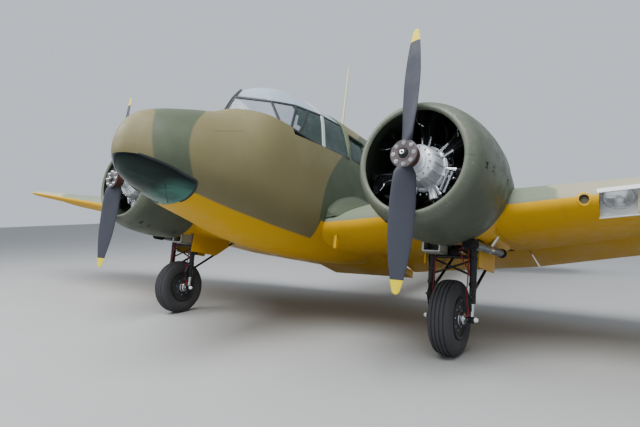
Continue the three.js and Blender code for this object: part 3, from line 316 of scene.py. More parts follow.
def makeCamera(s):
    # Looks along a heading and a pitch from a place measured from the main axle, then rolls about its line
    yaw, pitch, roll = (radians(s[key]) for key in ("turn", "pitch", "roll"))
    ahead = Vector((-sin(yaw) * cos(pitch), cos(yaw) * cos(pitch), sin(pitch)))
    right = Vector((cos(yaw), sin(yaw), 0))
    up = right.cross(ahead)
    rolledRight = right * cos(roll) + up * sin(roll)
    rolledUp = up * cos(roll) - right * sin(roll)
    data = bpy.data.cameras.new("camera")
    data.sensor_fit, data.sensor_width = "HORIZONTAL", s["sensor"]
    data.lens = s["focal"] / s["imageWidth"] * s["sensor"]
    data.clip_start, data.clip_end = 0.1, 200
    thing = linked("camera", data)
    place = Vector((s["aside"], axle[1] + s["ahead"], axle[2] + s["above"]))
    turned = Matrix((rolledRight, rolledUp, -ahead)).transposed()
    thing.matrix_world = Matrix.Translation(place) @ turned.to_4x4()
    bpy.context.scene.camera = thing


makeCamera(camera)

studio = {"sky": (0.84, 0.91, 1.0), "skyStrength": 0.8, "floor": (0.34, 0.345, 0.345), "floorReach": 60,
          "lamps": [("keyLamp", (3, -9, 14), 3400), ("fillLamp", (-9, -8, 11), 2040)], "lampSize": 9}


class Signal:
    # A socket that can be added, multiplied and faded like a number

    def __init__(self, paint, socket):
        self.paint, self.socket = paint, socket

    def __add__(self, other):
        return self.paint.math("ADD", self, other)

    def __sub__(self, other):
        return self.paint.math("SUBTRACT", self, other)

    def __rsub__(self, other):
        return self.paint.math("SUBTRACT", other, self)

    def __mul__(self, other):
        return self.paint.math("MULTIPLY", self, other)

    def __pow__(self, other):
        return self.paint.math("POWER", self, other)

    def __abs__(self):
        return self.paint.math("ABSOLUTE", self, 0)

    __radd__ = __add__
    __rmul__ = __mul__

    def most(self, other):
        return self.paint.math("MAXIMUM", self, other)

    def least(self, other):
        return self.paint.math("MINIMUM", self, other)

    def ramp(self, low, high, fromValue=0.0, toValue=1.0):
        # Rises smoothly from one value to another as this goes from low to high
        return self.paint.node("ShaderNodeMapRange", {"interpolation_type": "SMOOTHSTEP"},
                               {0: self, 1: low, 2: high, 3: fromValue, 4: toValue})

    def edge(self, blur):  # 0 below nought and 1 above it, with a soft step between
        return self.ramp(-blur, blur)


def linear(code):  # a colour as written in hexadecimal, made linear
    parts = [int(code[i:i + 2], 16) / 255 for i in (1, 3, 5)]
    return tuple(p / 12.92 if p <= 0.04045 else ((p + 0.055) / 1.055) ** 2.4 for p in parts) + (1.0,)


class Paint:
    # A material's node tree, with one method for any node

    def __init__(self, name, **sockets):
        self.material = bpy.data.materials.new(name)
        self.material.use_nodes = True
        self.tree = self.material.node_tree
        self.shader = self.tree.nodes["Principled BSDF"]
        self.set("specular_ior_level", 0.35)
        for key, value in sockets.items():
            self.set(key, value)

    def node(self, kind, settings=None, sockets=None, output=0):
        made = self.tree.nodes.new(kind)
        for key, value in (settings or {}).items():
            setattr(made, key, value)
        for key, value in (sockets or {}).items():
            self.join(made.inputs[key], value)
        return Signal(self, made.outputs[output])

    def join(self, socket, value):
        if isinstance(value, Signal):
            self.tree.links.new(value.socket, socket)
        else:
            socket.default_value = value

    def math(self, operation, first, second):
        return self.node("ShaderNodeMath", {"operation": operation}, {0: first, 1: second})

    def mix(self, first, second, part):
        return self.node("ShaderNodeMix", {"data_type": "RGBA"}, {0: part, 6: first, 7: second}, 2)

    def noise(self, where, scale, detail=3.0, roughness=0.55):
        return self.node("ShaderNodeTexNoise", {}, {"Vector": where, "Scale": scale, "Detail": detail,
                                                    "Roughness": roughness})

    def object(self):
        return self.node("ShaderNodeTexCoord", {}, {}, 3)

    def level(self):
        # Object coordinates brought back to the level datum
        return self.node("ShaderNodeMapping", {"vector_type": "TEXTURE"},
                         {0: self.object(), 1: (0.0, float(axle[1]), float(axle[2])), 2: (-lean, 0.0, 0.0)})

    def stretched(self, where, scale):
        return self.node("ShaderNodeMapping", {}, {0: where, 3: scale})

    def split(self, where):
        made = self.tree.nodes.new("ShaderNodeSeparateXYZ")
        self.join(made.inputs[0], where)
        return [Signal(self, made.outputs[i]) for i in range(3)]

    def attribute(self, name):
        return self.node("ShaderNodeAttribute", {"attribute_name": name}, {}, 2)

    def set(self, key, value):
        self.join(self.shader.inputs[key.replace("_", " ").title().replace("Ior", "IOR")], value)

    def bump(self, height, strength, distance, under=None):
        sockets = {"Height": height, "Strength": strength, "Distance": distance}
        if under is not None:
            sockets["Normal"] = under
        return self.node("ShaderNodeBump", {}, sockets)


def line(distance, width):  # 1 on a thin line where the distance is nought, 0 away from it
    return abs(distance).ramp(width, width * 0.35)


earth, green, yellow = linear("#70694a"), linear("#4a5342"), (0.575, 0.318, 0.0, 1.0)


def weathered(paint, base, where, amount=0.16):
    # Broad fading, fine mottling and faint streaks over a base colour
    broad = paint.noise(where, 1.3, 4, 0.6)
    fine = paint.noise(where, 26, 5, 0.65)
    streak = paint.noise(paint.stretched(where, (9.0, 0.8, 22.0)), 1.6, 3, 0.6)
    faded = paint.mix(base, (0.42, 0.4, 0.32, 1), broad.ramp(0.42, 0.8, 0, amount * 0.6))
    dark = paint.mix(faded, (0.05, 0.048, 0.04, 1), fine.ramp(0.52, 0.8, 0, amount * 0.75))
    return paint.mix(dark, (0.12, 0.11, 0.09, 1), streak.ramp(0.58, 0.8, 0, amount * 0.6))


def skinFinish(paint, where, grain, rough, relief, strength, ripple):
    # Roughness that drifts between two values, and relief over a faint ripple
    paint.set("roughness", paint.noise(where, grain, 3).ramp(0.3, 0.75, *rough))
    under = paint.bump(paint.noise(where, ripple, 2), 0.08, 0.02)
    paint.set("normal", paint.bump(relief, strength, 0.002, under))
    return paint.material


def paintFuselage():
    # Brown and green above, yellow below. The edges are parabolas in the side view, and the lines are the
    # joints of the skin's panels
    paint = Paint("fuselagePaint", specular_ior_level=0.15)
    where = paint.level()
    _, y, z = paint.split(where)
    wander = (paint.noise(where, 3.0, 2, 0.5) - 0.5) * 0.03
    bandFront = -2.595 + (z - 1.32) ** 2 * 0.96
    bandBack = -2.305 + (z - 1.3) ** 2 * 1.35
    aft = -0.458 + (z - 1.13) ** 2 * 0.672
    band = (y - bandFront + wander).edge(0.012) * (bandBack - y + wander).edge(0.012)
    rear = (y - aft + wander).edge(0.012)
    rearFront = 2.45 + (z - 1.9) ** 2 * 0.9
    rearBack = 3.9 + (z - 1.5) * 0.8
    patch = (y - rearFront + wander).edge(0.02) * (rearBack - y + wander).edge(0.02)
    tailPatch = (y - 5.3 - (z - 1.9) * 0.7 + wander).edge(0.02)
    top = paint.mix(earth, green, (band + rear * (1 - patch) * (1 - tailPatch)).least(1.0))
    ahead = y * -1.0 - 0.536
    foreEdge = 0.745 + (ahead * 0.0316 + ahead * ahead * 0.0421)
    sideEdge = 0.96 + (y + 0.42).ramp(2.0, 6.8, 0, 0.62)
    under = (y + 0.42).edge(0.012)
    below = (foreEdge * (1 - under) + sideEdge * under - z).edge(0.01)
    joints = line(z - 1.528 - (y + 2.039) * 0.35, 0.004) * (y + 2.04).ramp(-0.01, 0.0)
    joints = joints * (y + 1.676).ramp(0.0, -0.01)
    for place in (-1.655, 3.4):
        joints = joints.most(line(y - place, 0.0035) * 0.2)
    worn = paint.mix(weathered(paint, top, where), weathered(paint, yellow, where, 0.04), below)
    paint.set("base_color", paint.mix(worn, (0.03, 0.03, 0.025, 1), joints * 0.65))
    paint.set("roughness", paint.noise(where, 7, 3).ramp(0.3, 0.75, 0.42, 0.6))
    sunk = paint.bump(joints * -1.0, 0.5, 0.002)
    paint.set("normal", paint.bump(paint.noise(where, 3.2, 2), 0.1, 0.02, sunk))
    return paint.material


def paintWing():
    # Yellow below the leading edge and camouflage above it. The skin attribute is the distance round the
    # section from the leading edge, above nought on top
    paint = Paint("wingPaint", specular_ior_level=0.2)
    where = paint.level()
    x, y, _ = paint.split(where)
    skin, span = paint.attribute("skin"), abs(x)
    patch = (x * 0.9 + y * 0.55) * 1.15 + (paint.noise(where, 2.0, 2, 0.5) - 0.5)
    wave = paint.node("ShaderNodeMath", {"operation": "SINE"}, {0: patch})
    top = paint.mix(linear("#a09c84"), linear("#77806c"), wave.edge(0.04))
    above = (skin - 0.012).edge(0.004)
    ribs = line(paint.node("ShaderNodeMath", {"operation": "PINGPONG"}, {0: span, 1: 0.31}), 0.004)
    seam = line(span - 2.62, 0.004)
    for place in (0.46, 1.18):
        seam = seam.most(line(abs(skin) - place, 0.003))
    worn = paint.mix(weathered(paint, yellow, where, 0.04), weathered(paint, top, where, 0.13), above)
    stain = paint.noise(paint.stretched(where, (6.0, 0.7, 1.0)), 1.5, 4).ramp(0.55, 0.85, 0, 0.22)
    stained = paint.mix(worn, (0.17, 0.09, 0.02, 1), stain * (1 - above))
    paint.set("base_color", paint.mix(stained, (0.05, 0.04, 0.02, 1), seam * 0.5))
    return skinFinish(paint, where, 8, (0.52, 0.7), seam * -1.0 + ribs * 0.25, 0.35, 4)


def paintNacelle():
    # Green on top and yellow below the height of the wing's nose
    paint = Paint("nacellePaint", specular_ior_level=0.25)
    where = paint.level()
    _, y, z = paint.split(where)
    base = paint.mix(green, yellow, (1.055 - z + (y + 0.3) * -0.05).edge(0.008))
    seam = line(y - 0.02, 0.0035).most(line(y - 0.62, 0.0035))
    paint.set("base_color", paint.mix(weathered(paint, base, where), (0.03, 0.03, 0.02, 1), seam * 0.6))
    return skinFinish(paint, where, 8, (0.4, 0.58), seam * -1.0, 0.5, 4)


def paintCowl():
    # Olive green with a rubbed lip and the joint lines of its three panels
    paint = Paint("cowlPaint")
    where = paint.level()
    x, y, z = paint.split(where)
    across, up = abs(x) - halfTrack, z - engineZ
    lip = (y * -1.0).ramp(1.13, 1.25)
    base = paint.mix(linear("#444c3e"), linear("#6a6f60"), lip * 0.5)
    angle = paint.node("ShaderNodeMath", {"operation": "ARCTAN2"}, {0: up, 1: across})
    seam = line(angle, 0.008)
    for off, width in ((angle + 2.0, 0.006), (angle - 2.3, 0.006), (y + 1.155, 0.004), (y + 0.38, 0.004)):
        seam = seam.most(line(off, width))
    rubbed = paint.noise(where, 45, 4).ramp(0.6, 0.75) * lip
    colour = paint.mix(weathered(paint, base, where), (0.45, 0.44, 0.4, 1), rubbed * 0.5)
    inside = ((across * across + up * up) ** 0.5 - 0.6).ramp(0.0, -0.01) * (y * -1.0).ramp(1.24, 1.2)
    paint.set("base_color", paint.mix(colour, (0.03, 0.03, 0.025, 1), seam * 0.6 * (1 - inside)))
    return skinFinish(paint, where, 9, (0.36, 0.55), seam * -1.0, 0.5, 5)


def plainPaint(name, colour, roughness, metallic, speckle, scale):
    # One colour with speckle, patches of wear and a fine uneven surface
    paint = Paint(name, metallic=metallic)
    where = paint.object()
    colour = linear(colour) if isinstance(colour, str) else colour
    fine = paint.noise(where, scale, 5, 0.6)
    broad = paint.noise(where, scale * 0.12, 3, 0.5)
    dark = tuple(c * 0.55 for c in colour[:3]) + (1,)
    light = tuple(min(1, c * 1.25 + 0.02) for c in colour[:3]) + (1,)
    worn = paint.mix(colour, dark, fine.ramp(0.5, 0.8, 0, speckle * 3))
    paint.set("base_color", paint.mix(worn, light, broad.ramp(0.5, 0.8, 0, speckle * 3)))
    paint.set("roughness", broad.ramp(0.3, 0.75, max(roughness - 0.1, 0.04), min(roughness + 0.12, 1)))
    paint.set("normal", paint.bump(fine, 0.18, 0.0015))
    return paint.material


def paintGlass(name, tint, alpha, roughness=0.04, dusty=0.1):
    # Clear sheet with faint dust over a tint. On the canopy and cabin windows the tint is painted reflection
    paint = Paint(name, ior=1.45)
    where = paint.object()
    dust = paint.noise(where, 5, 5, 0.6).ramp(0.4, 0.85)
    paint.set("base_color", paint.mix(tint, (0.6, 0.62, 0.6, 1), dust * dusty))
    paint.set("roughness", dust * 0.08 + roughness)
    paint.set("alpha", dust * 0.04 + alpha)
    return paint.material


def paintNoseGlassReflection():
    # Dark sheet whose colours are painted reflection: nearly black along its top, grey-green below, with a
    # paler patch low at the back that is a painted glint, and streaks of painted reflection
    paint = Paint("noseGlass", ior=1.28, roughness=0.05, alpha=0.97)
    where = paint.level()
    _, y, z = paint.split(where)
    streak = paint.noise(paint.stretched(where, (3.0, 2.0, 9.0)), 1.7, 4, 0.6)
    # Painted reflection: the sheet turns from nearly black at the top to grey-green lower down, with paler
    # streaks
    low = (z + streak * 0.16 + (y + 2.4) * 0.3 - 1.1).ramp(0.06, -0.14)
    base = paint.mix((0.003, 0.004, 0.006, 1), (0.017, 0.034, 0.027, 1), low)
    base = paint.mix(base, (0.075, 0.095, 0.085, 1), streak.ramp(0.5, 0.72, 0, 0.35) * low)
    # A painted glint: a pale teal patch low at the back of the nose
    patch = (y + streak * 0.12).ramp(-2.36, -2.22) * (z - 0.93).ramp(0.08, -0.05)
    paint.set("base_color", paint.mix(base, (0.07, 0.2, 0.16, 1), patch * streak.ramp(0.3, 0.55, 0.35, 0.8)))
    paint.set("normal", paint.bump(streak, 0.05, 0.01))
    return paint.material


plainPaints = {
    # Name, colour, roughness, metallic, speckle and the speckle's scale
    "tail": ("tailPaint", green, 0.5, 0, 0.08, 12),
    "propeller": ("propellerPaint", "#31343e", 0.66, 0, 0.05, 40),
    "tipYellow": ("tipPaint", (0.64, 0.52, 0.0, 1.0), 0.55, 0, 0.03, 40),
    "yellow": ("yellowPaint", yellow, 0.45, 0, 0.06, 22),
    "belly": ("bellyPaint", yellow, 0.6, 0, 0.05, 14),
    "green": ("greenPaint", green, 0.5, 0, 0.08, 22),
    "mast": ("mastPaint", "#cfc7a4", 0.5, 0, 0.06, 40),
    "black": ("blackEnamel", "#17181a", 0.34, 0, 0.05, 60),
    "white": ("whitePaint", "#f4f5f3", 0.4, 0, 0.03, 60),
    "red": ("redHose", "#7d1722", 0.45, 0, 0.06, 60),
    "frameGrey": ("canopyFramePaint", "#23292a", 0.5, 0, 0.06, 50),
    "postGrey": ("postPaint", "#a9b0ad", 0.5, 0, 0.06, 50),
    "flangeGrey": ("flangePaint", "#c3c6c6", 0.45, 0.2, 0.06, 50),
    "scoopGrey": ("scoopPaint", "#8f9288", 0.5, 0.1, 0.08, 40),
    "steel": ("brightSteel", "#d5d8dc", 0.22, 1, 0.05, 80),
    "dullSteel": ("dullSteel", "#8b8e92", 0.42, 0.9, 0.08, 60),
    "reflector": ("lampReflector", "#f6fafd", 0.16, 0.6, 0.03, 60),
    "case": ("crankcaseSilver", "#dde2e7", 0.36, 0.25, 0.08, 60),
    "plate": ("hubPlate", "#544c4e", 0.42, 0.3, 0.08, 60),
    "boss": ("bossBrown", "#5c3a32", 0.4, 0.4, 0.08, 60),
    "finMetal": ("cylinderBlack", "#202123", 0.5, 0.3, 0.06, 70),
    "rubber": ("tyreRubber", "#3a3a3d", 0.8, 0, 0.1, 45),
    "hub": ("wheelGrey", "#333538", 0.5, 0.3, 0.1, 50),
    "exhaust": ("exhaustMetal", "#868b8f", 0.42, 0.7, 0.12, 35),
    "soot": ("soot", "#0d0d0e", 0.85, 0, 0.05, 30),
    "bay": ("bayPaint", "#4d4a35", 0.7, 0, 0.1, 20),
    "cabin": ("cabinPaint", "#5d7a62", 0.6, 0, 0.1, 25),
    "panel": ("panelBlack", "#1d1e20", 0.6, 0, 0.06, 50),
    "leather": ("seatLeather", "#4b3325", 0.6, 0, 0.14, 90),
    "dial": ("dialWhite", "#c9c9c2", 0.5, 0, 0.04, 60),
}
paints = {key: plainPaint(*row) for key, row in plainPaints.items()}
paints.update({
    "fuselage": paintFuselage(), "wing": paintWing(), "nacelle": paintNacelle(), "cowl": paintCowl(),
    # The canopy's and cabin windows' tints are painted reflection: dark on the side panes, pale sky blue on
    # the roof, pale grey on the windscreen
    "glass": paintGlass("sideGlassDarkReflection", (0.035, 0.06, 0.055, 1), 0.62),
    "roofGlass": paintGlass("roofGlass", (0.36, 0.45, 0.53, 1), 0.84, 0.1),
    "frontGlass": paintGlass("frontGlass", (0.3, 0.33, 0.39, 1), 0.68, 0.06),
    "lampGlass": paintGlass("lampGlass", (0.8, 0.85, 0.9, 1), 0.03, 0.04, 0.0),
    "noseGlass": paintNoseGlassReflection(),
})
print("stage 2: paints ready")


def makeStudio(s):
    # A pale floor that is level and wide, soft sky light and two large soft lamps
    reach = s["floorReach"]
    mesh = bpy.data.meshes.new("floor")
    corners = [(-reach, -reach, 0), (reach, -reach, 0), (reach, reach, 0), (-reach, reach, 0)]
    mesh.from_pydata(corners, [], [(0, 1, 2, 3)])
    floor = linked("floor", mesh)
    paint = Paint("floorPaint", roughness=0.85)
    where = paint.object()
    shade = paint.noise(where, 0.7, 4, 0.6).ramp(0.3, 0.75, 0, 0.25)
    pale, dark = s["floor"] + (1,), tuple(c * 0.88 for c in s["floor"]) + (1,)
    paint.set("base_color", paint.mix(pale, dark, shade))
    mesh.materials.append(paint.material)
    world = bpy.data.worlds.new("studio")
    bpy.context.scene.world = world
    world.use_nodes = True
    background = world.node_tree.nodes["Background"]
    background.inputs[0].default_value = s["sky"] + (1,)
    background.inputs[1].default_value = s["skyStrength"]
    for name, place, power in s["lamps"]:
        data = bpy.data.lights.new(name, "AREA")
        data.energy, data.size = power, s["lampSize"]
        lamp = linked(name, data)
        lamp.location = place
        lamp.rotation_euler = (Vector((0, 0, 1)) - Vector(place)).to_track_quat("-Z", "Y").to_euler()


makeStudio(studio)

fuselage = {
    # Each section: y, half width, top, bottom, height of the widest place, squareness above and below
    "sections": [
        [-2.745, 0.03, 1.27, 1.19, 1.23, 2.0, 2.0], [-2.71, 0.15, 1.425, 1.07, 1.225, 2.0, 2.0],
        [-2.615, 0.265, 1.56, 0.95, 1.22, 2.0, 2.0], [-2.41, 0.39, 1.672, 0.858, 1.21, 2.0, 2.0],
        [-2.1, 0.5, 1.785, 0.78, 1.195, 2.1, 2.1], [-1.66, 0.592, 1.945, 0.7, 1.2, 2.1, 2.2],
        [-1.2, 0.645, 2.38, 0.61, 1.22, 2.7, 2.4], [-0.6, 0.69, 2.52, 0.56, 1.25, 2.8, 2.6],
        [0.08, 0.7, 2.56, 0.55, 1.28, 2.8, 2.6], [0.8, 0.7, 2.56, 0.57, 1.3, 2.8, 2.6],
        [1.65, 0.68, 2.525, 0.655, 1.33, 2.7, 2.5], [2.4, 0.645, 2.475, 0.72, 1.36, 2.6, 2.4],
        [3.4, 0.575, 2.395, 0.84, 1.42, 2.5, 2.3], [4.4, 0.48, 2.312, 1.000, 1.5, 2.4, 2.2],
        [5.4, 0.375, 2.23, 1.19, 1.59, 2.3, 2.1], [6.2, 0.28, 2.165, 1.375, 1.69, 2.2, 2.0],
        [7.000, 0.13, 2.09, 1.56, 1.8, 2.0, 2.0],
    ],
    "wall": 0.038, "knuckles": [1.24, 1.54],
    "sill": [[-1.8, 2.023], [-1.56, 1.98], [-1.233, 1.921], [-1.07, 1.9], [-1.04, 1.83],
             [-0.42, 1.855], [0.3, 1.893]],
    "chinWindow": [[-2.9, 1.135], [-2.655, 1.123], [-2.56, 1.1], [-2.4, 1.064], [-2.256, 1.02],
                   [-2.162, 0.997], [-2.134, 0.957], [-2.118, 0.907], [-2.111, 0.841], [-2.128, 0.797],
                   [-2.17, 0.5], [-2.9, 0.5]],
    "windows": [[0.15, 0.58], [0.66, 1.12], [1.2, 1.66], [1.74, 2.16]],
    "windowHeights": [1.905, 2.245],
    "door": {"fromY": 2.414, "toY": 3.086, "fromZ": 1.114, "toZ": 2.136, "gap": 0.006, "round": 0.07},
    "stations": 190, "sides": 112,
}
noseY = fuselage["sections"][0][0]
bodyTable = [[sqrt(row[0] - noseY)] + row[1:] for row in fuselage["sections"]]


def bodySurface(y, angle, inset=0.0):
    # Squared ellipses: (x / half width) to the power p plus (rise / reach) to the power p is 1, with p, half
    # width and reach read smoothly from the table against the root of the distance behind the nose
    y, angle = np.asarray(y, float), np.asarray(angle, float)
    half, top, bottom, wide, upper, lower = np.moveaxis(through(bodyTable, np.sqrt(y - noseY)), -1, 0)
    c, s = np.cos(angle), np.sin(angle)
    power = 2 / np.where(s >= 0, upper, lower)
    reach = np.maximum(np.where(s >= 0, top - wide, wide - bottom) - inset, 0.001)
    x = (half - inset) * np.sign(c) * np.abs(c) ** power
    z = wide + reach * np.sign(s) * np.abs(s) ** power
    return np.stack([x, y + 0 * x, z], axis=-1)


def bodyGrid(fromY, toY, rows, sides, inset=0.0):
    # Stations crowd towards the nose: their distance behind it grows with the square of the step
    root = np.linspace(sqrt(fromY - noseY), sqrt(toY - noseY), rows)
    return bodySurface((noseY + root ** 2)[:, None], circle(sides)[None, :], inset)


def bodyHalfAt(y, z, inset=0.0):
    # Half width of the fuselage at a height: the squared ellipse solved for x
    rows = through(bodyTable, np.sqrt(np.asarray(y) - noseY))
    half, top, bottom, wide, upper, lower = np.moveaxis(rows, -1, 0)
    power = np.where(z >= wide, upper, lower)
    reach = np.where(z >= wide, top - wide, wide - bottom) - inset
    share = np.clip(1 - (np.abs(z - wide) / reach) ** power, 0, 1)
    return (half - inset) * share ** (1 / power)


def prism(outline, low, high, shape=None):  # a plain cutter: an outline carried along x, from low to high
    return (shape or Shape()).slab(outline, low, high, "x", 1e-6)


def sideOutline(s):  # the rim of the opening under the canopy, as y and z of the side view
    sill = np.array(s["sill"])
    fromY, backY = -1.66, 0.0795
    heights = np.interp([fromY, backY], sill[:, 0], sill[:, 1])
    inner = sill[(sill[:, 0] > fromY) & (sill[:, 0] < backY)]
    return np.vstack([[[fromY, heights[0]]], inner, [[backY, heights[1]], [backY, 3.0], [fromY, 3.0]]])


def makeFuselage(s):
    # One smooth shell from nose to stern. The openings are cut through it, and the door is what one cuts out
    shell = Shape().solid(bodyGrid(noseY, 7.0, s["stations"], s["sides"]))
    skin = shell.made("fuselageSkin", "fuselage cabin")
    carve(skin, Shape().solid(bodyGrid(noseY + 0.085, 3.38, 120, 96, s["wall"])), mark=1)
    door, beyond, inboard = s["door"], 0.95, -0.2
    leaf = roundedOutline(door["fromY"] + door["gap"], door["toY"] - door["gap"], door["fromZ"] + door["gap"],
                          door["toZ"] - door["gap"], door["round"])
    panel = linked("entryDoor", skin.data.copy())
    carve(panel, prism(leaf, -beyond, inboard), "INTERSECT", mark=1)
    tools = prism(sideOutline(s), -beyond, beyond)
    low, high = s["windowHeights"]
    for outline in [s["chinWindow"]] + [roundedOutline(*ends, low, high, 0.05) for ends in s["windows"]]:
        prism(outline, -0.9, 0.9, tools)
    opening = roundedOutline(door["fromY"], door["toY"], door["fromZ"], door["toZ"], door["round"])
    prism(opening, -beyond, inboard, tools)
    carve(skin, tools, mark=1)
    dressed(skin, "airframe", "nose_shell cabin_shell rear_shell tail_cone")
    # The door's knuckles turn on upright pins beside two blocks on the shell
    pin = levelled(joints["entry_door_hinge"]["pos_m"])
    hinges = Shape()
    for height in s["knuckles"]:
        foot, top = np.array([pin[0], pin[1], height]), np.array([pin[0], pin[1], height + 0.08])
        hinges.rod(foot, top, 0.0125)
        hinges.rod(foot - [0, 0, 0.001], top + [0, 0, 0.001], 0.006)
    handleY, handleZ = door["toY"] - 0.09, 1.62
    reach = -float(bodyHalfAt(handleY, handleZ))
    hinges.rod((reach + 0.004, handleY, handleZ), (reach - 0.03, handleY, handleZ), 0.008)
    hinges.rod((reach - 0.03, handleY + 0.012, handleZ), (reach - 0.028, handleY - 0.1, handleZ), 0.008)
    hinges.piece("doorHinges", "green", "green_paint", body="entry_door")
    dressed(panel, "entry_door", "entry_door")
    # Blocks that carry the pins, the tail wheel's socket and the rudder's foot bracket
    fixed = Shape()
    for height in s["knuckles"]:
        fixed.block((pin[0] - 0.008, pin[1] - 0.072, height), (pin[0] + 0.03, pin[1] - 0.0145, height + 0.08))
    castor = np.array(joints["tail_castor"]["pos_m"])
    fixed.rod(*(levelled(castor + [0, 0, rise]) for rise in (0.191, 0.33)), 0.045, 24)
    fixed.block((-0.018, 6.945, 1.705), (0.018, 7.018, 1.735))
    trim = 0.006
    for _, side in sides:
        for fromY, toY in s["windows"]:
            outline = roundedOutline(fromY - trim, toY + trim, low - trim, high + trim, 0.055)
            outline = rounded(outline, 72, True)
            x = bodyHalfAt(outline[:, 0], outline[:, 1])
            path = np.column_stack([side * (x - 0.001), outline])
            fixed.grid(ringed(path, [side, 0, 0], 0.011, 0.0055), True)
    fixed.piece("fuselageFittings", "frameGrey", "black_paint")


def ringed(path, out, wide, high):
    # A closed path made into a ring of oval section: wide beside the outward direction, high along it
    along = unit(np.roll(path, -1, axis=0) - np.roll(path, 1, axis=0))
    out = np.broadcast_to(np.asarray(out, float), path.shape)
    beside = np.cross(along, out)
    angle = circle(8)[None, :, None]
    rings = path[:, None] + wide * np.cos(angle) * beside[:, None] + high * np.sin(angle) * out[:, None]
    return np.concatenate([rings, rings[:1]])


makeFuselage(fuselage)
print("stage 3: fuselage made")


def makeNoseGlass(s):
    # The nose's own surface, 9 mm thick, kept inside the outline of the window, and a trim along the edge
    shell = Shape().solid(bodyGrid(noseY, -2.05, 90, 88, 0.001)).made("noseGlass", "noseGlass")
    carve(shell, Shape().solid(bodyGrid(noseY + 0.006, -2.0, 90, 88, 0.01)))
    outline = np.array(s["chinWindow"])
    middle = outline.mean(axis=0)
    shrunk = outline + unit(middle - outline) * 0.001
    carve(shell, prism(shrunk, -0.9, 0.9), "INTERSECT")
    dressed(shell, "airframe", "chin_window")
    trim = Shape()
    edge = rounded(np.array(s["chinWindow"][1:9] + [[-2.118, 0.812]]), 60)
    x = bodyHalfAt(edge[:, 0], edge[:, 1])
    for _, side in sides:
        path = np.column_stack([side * x, edge])
        trim.strip(path, unit(path - [0, -1.9, 1.25]), 0.022, -0.006, 0.0025)
    bar = rounded(np.array([[0.248, -2.363, 0.915], [0.16, -2.262, 0.845], [0.072, -2.164, 0.797]]), 12)
    for _, side in sides:
        trim.tube(mirrored(bar, side), 0.005, 8)
    trim.piece("noseGlassTrim", "frameGrey", "green_paint")


makeNoseGlass(fuselage)

canopy = {
    # For each frame: foot, shoulder, haunch and crown as x, y, z
    "frames": [
        [[0.024, -1.56, 1.98], [0.024, -1.458, 2.185], [0.012, -1.365, 2.32], [0.0, -1.36, 2.325]],
        [[0.54, -1.233, 1.921], [0.35, -1.19, 2.19], [0.2, -1.12, 2.4], [0.0, -1.1, 2.475]],
        [[0.582, -1.069, 1.9], [0.445, -0.87, 2.255], [0.25, -0.84, 2.48], [0.0, -0.83, 2.55]],
        [[0.638, -0.47, 1.853], [0.49, -0.39, 2.31], [0.23, -0.385, 2.535], [0.0, -0.38, 2.59]],
        [[0.664, 0.08, 1.882], [0.487, 0.08, 2.345], [0.25, 0.08, 2.532], [0.0, 0.08, 2.56]],
    ],
    "glass": 0.006, "across": 49,
}


def canopySurface(s, frameAt, across):
    # Across each frame a smooth curve runs foot, shoulder, haunch, crown and down the other side. Between
    # frames the sides are straight and the roof is a Catmull-Rom curve. frameAt counts frames, and across
    # counts points from foot 0 to foot 6
    frames, feet, count = np.array(s["frames"]), 6, 121
    whole = np.concatenate([frames, mirrored(frames[:, 2::-1], -1)], axis=1)
    lines = np.array([rounded(row, count) for row in whole])
    fine = np.linspace(0, feet, count)
    straight = np.array([between(np.column_stack([range(feet + 1), row]), fine) for row in whole])
    lines = 0.65 * lines + 0.35 * straight
    frameAt, across = np.broadcast_arrays(np.asarray(frameAt, float), np.asarray(across, float))
    k = np.clip(frameAt.astype(int), 0, len(frames) - 2)
    t = (frameAt - k)[..., None]
    place = across * (count - 1) / feet
    j = np.clip(place.astype(int), 0, count - 2)
    u = (place - j)[..., None]
    before, after = np.maximum(k - 1, 0), np.minimum(k + 2, len(frames) - 1)
    a, b, c, d = (lines[row, j] * (1 - u) + lines[row, j + 1] * u for row in (before, k, k + 1, after))
    straight = b * (1 - t) + c * t
    roof = np.clip((np.minimum(across, feet - across) - 1.0) / 0.7, 0, 1)[..., None]
    return straight + (blended(a, b, c, d, t) - straight) * roof


def canopyOutward(s, frameAt, across):
    # Outward direction: the cross product of the steps along and across the surface
    frameAt, across = np.broadcast_arrays(np.asarray(frameAt, float), np.asarray(across, float))
    step, middle = 0.02, [0, -0.5, 1.9]
    along = (canopySurface(s, np.minimum(frameAt + step, 4), across)
             - canopySurface(s, np.maximum(frameAt - step, 0), across))
    over = (canopySurface(s, frameAt, np.minimum(across + step, 6))
            - canopySurface(s, frameAt, np.maximum(across - step, 0)))
    out = np.cross(over, along)
    out /= np.maximum(np.linalg.norm(out, axis=-1, keepdims=True), 1e-9)
    return out * np.sign(np.sum(out * (canopySurface(s, frameAt, across) - middle), axis=-1, keepdims=True))


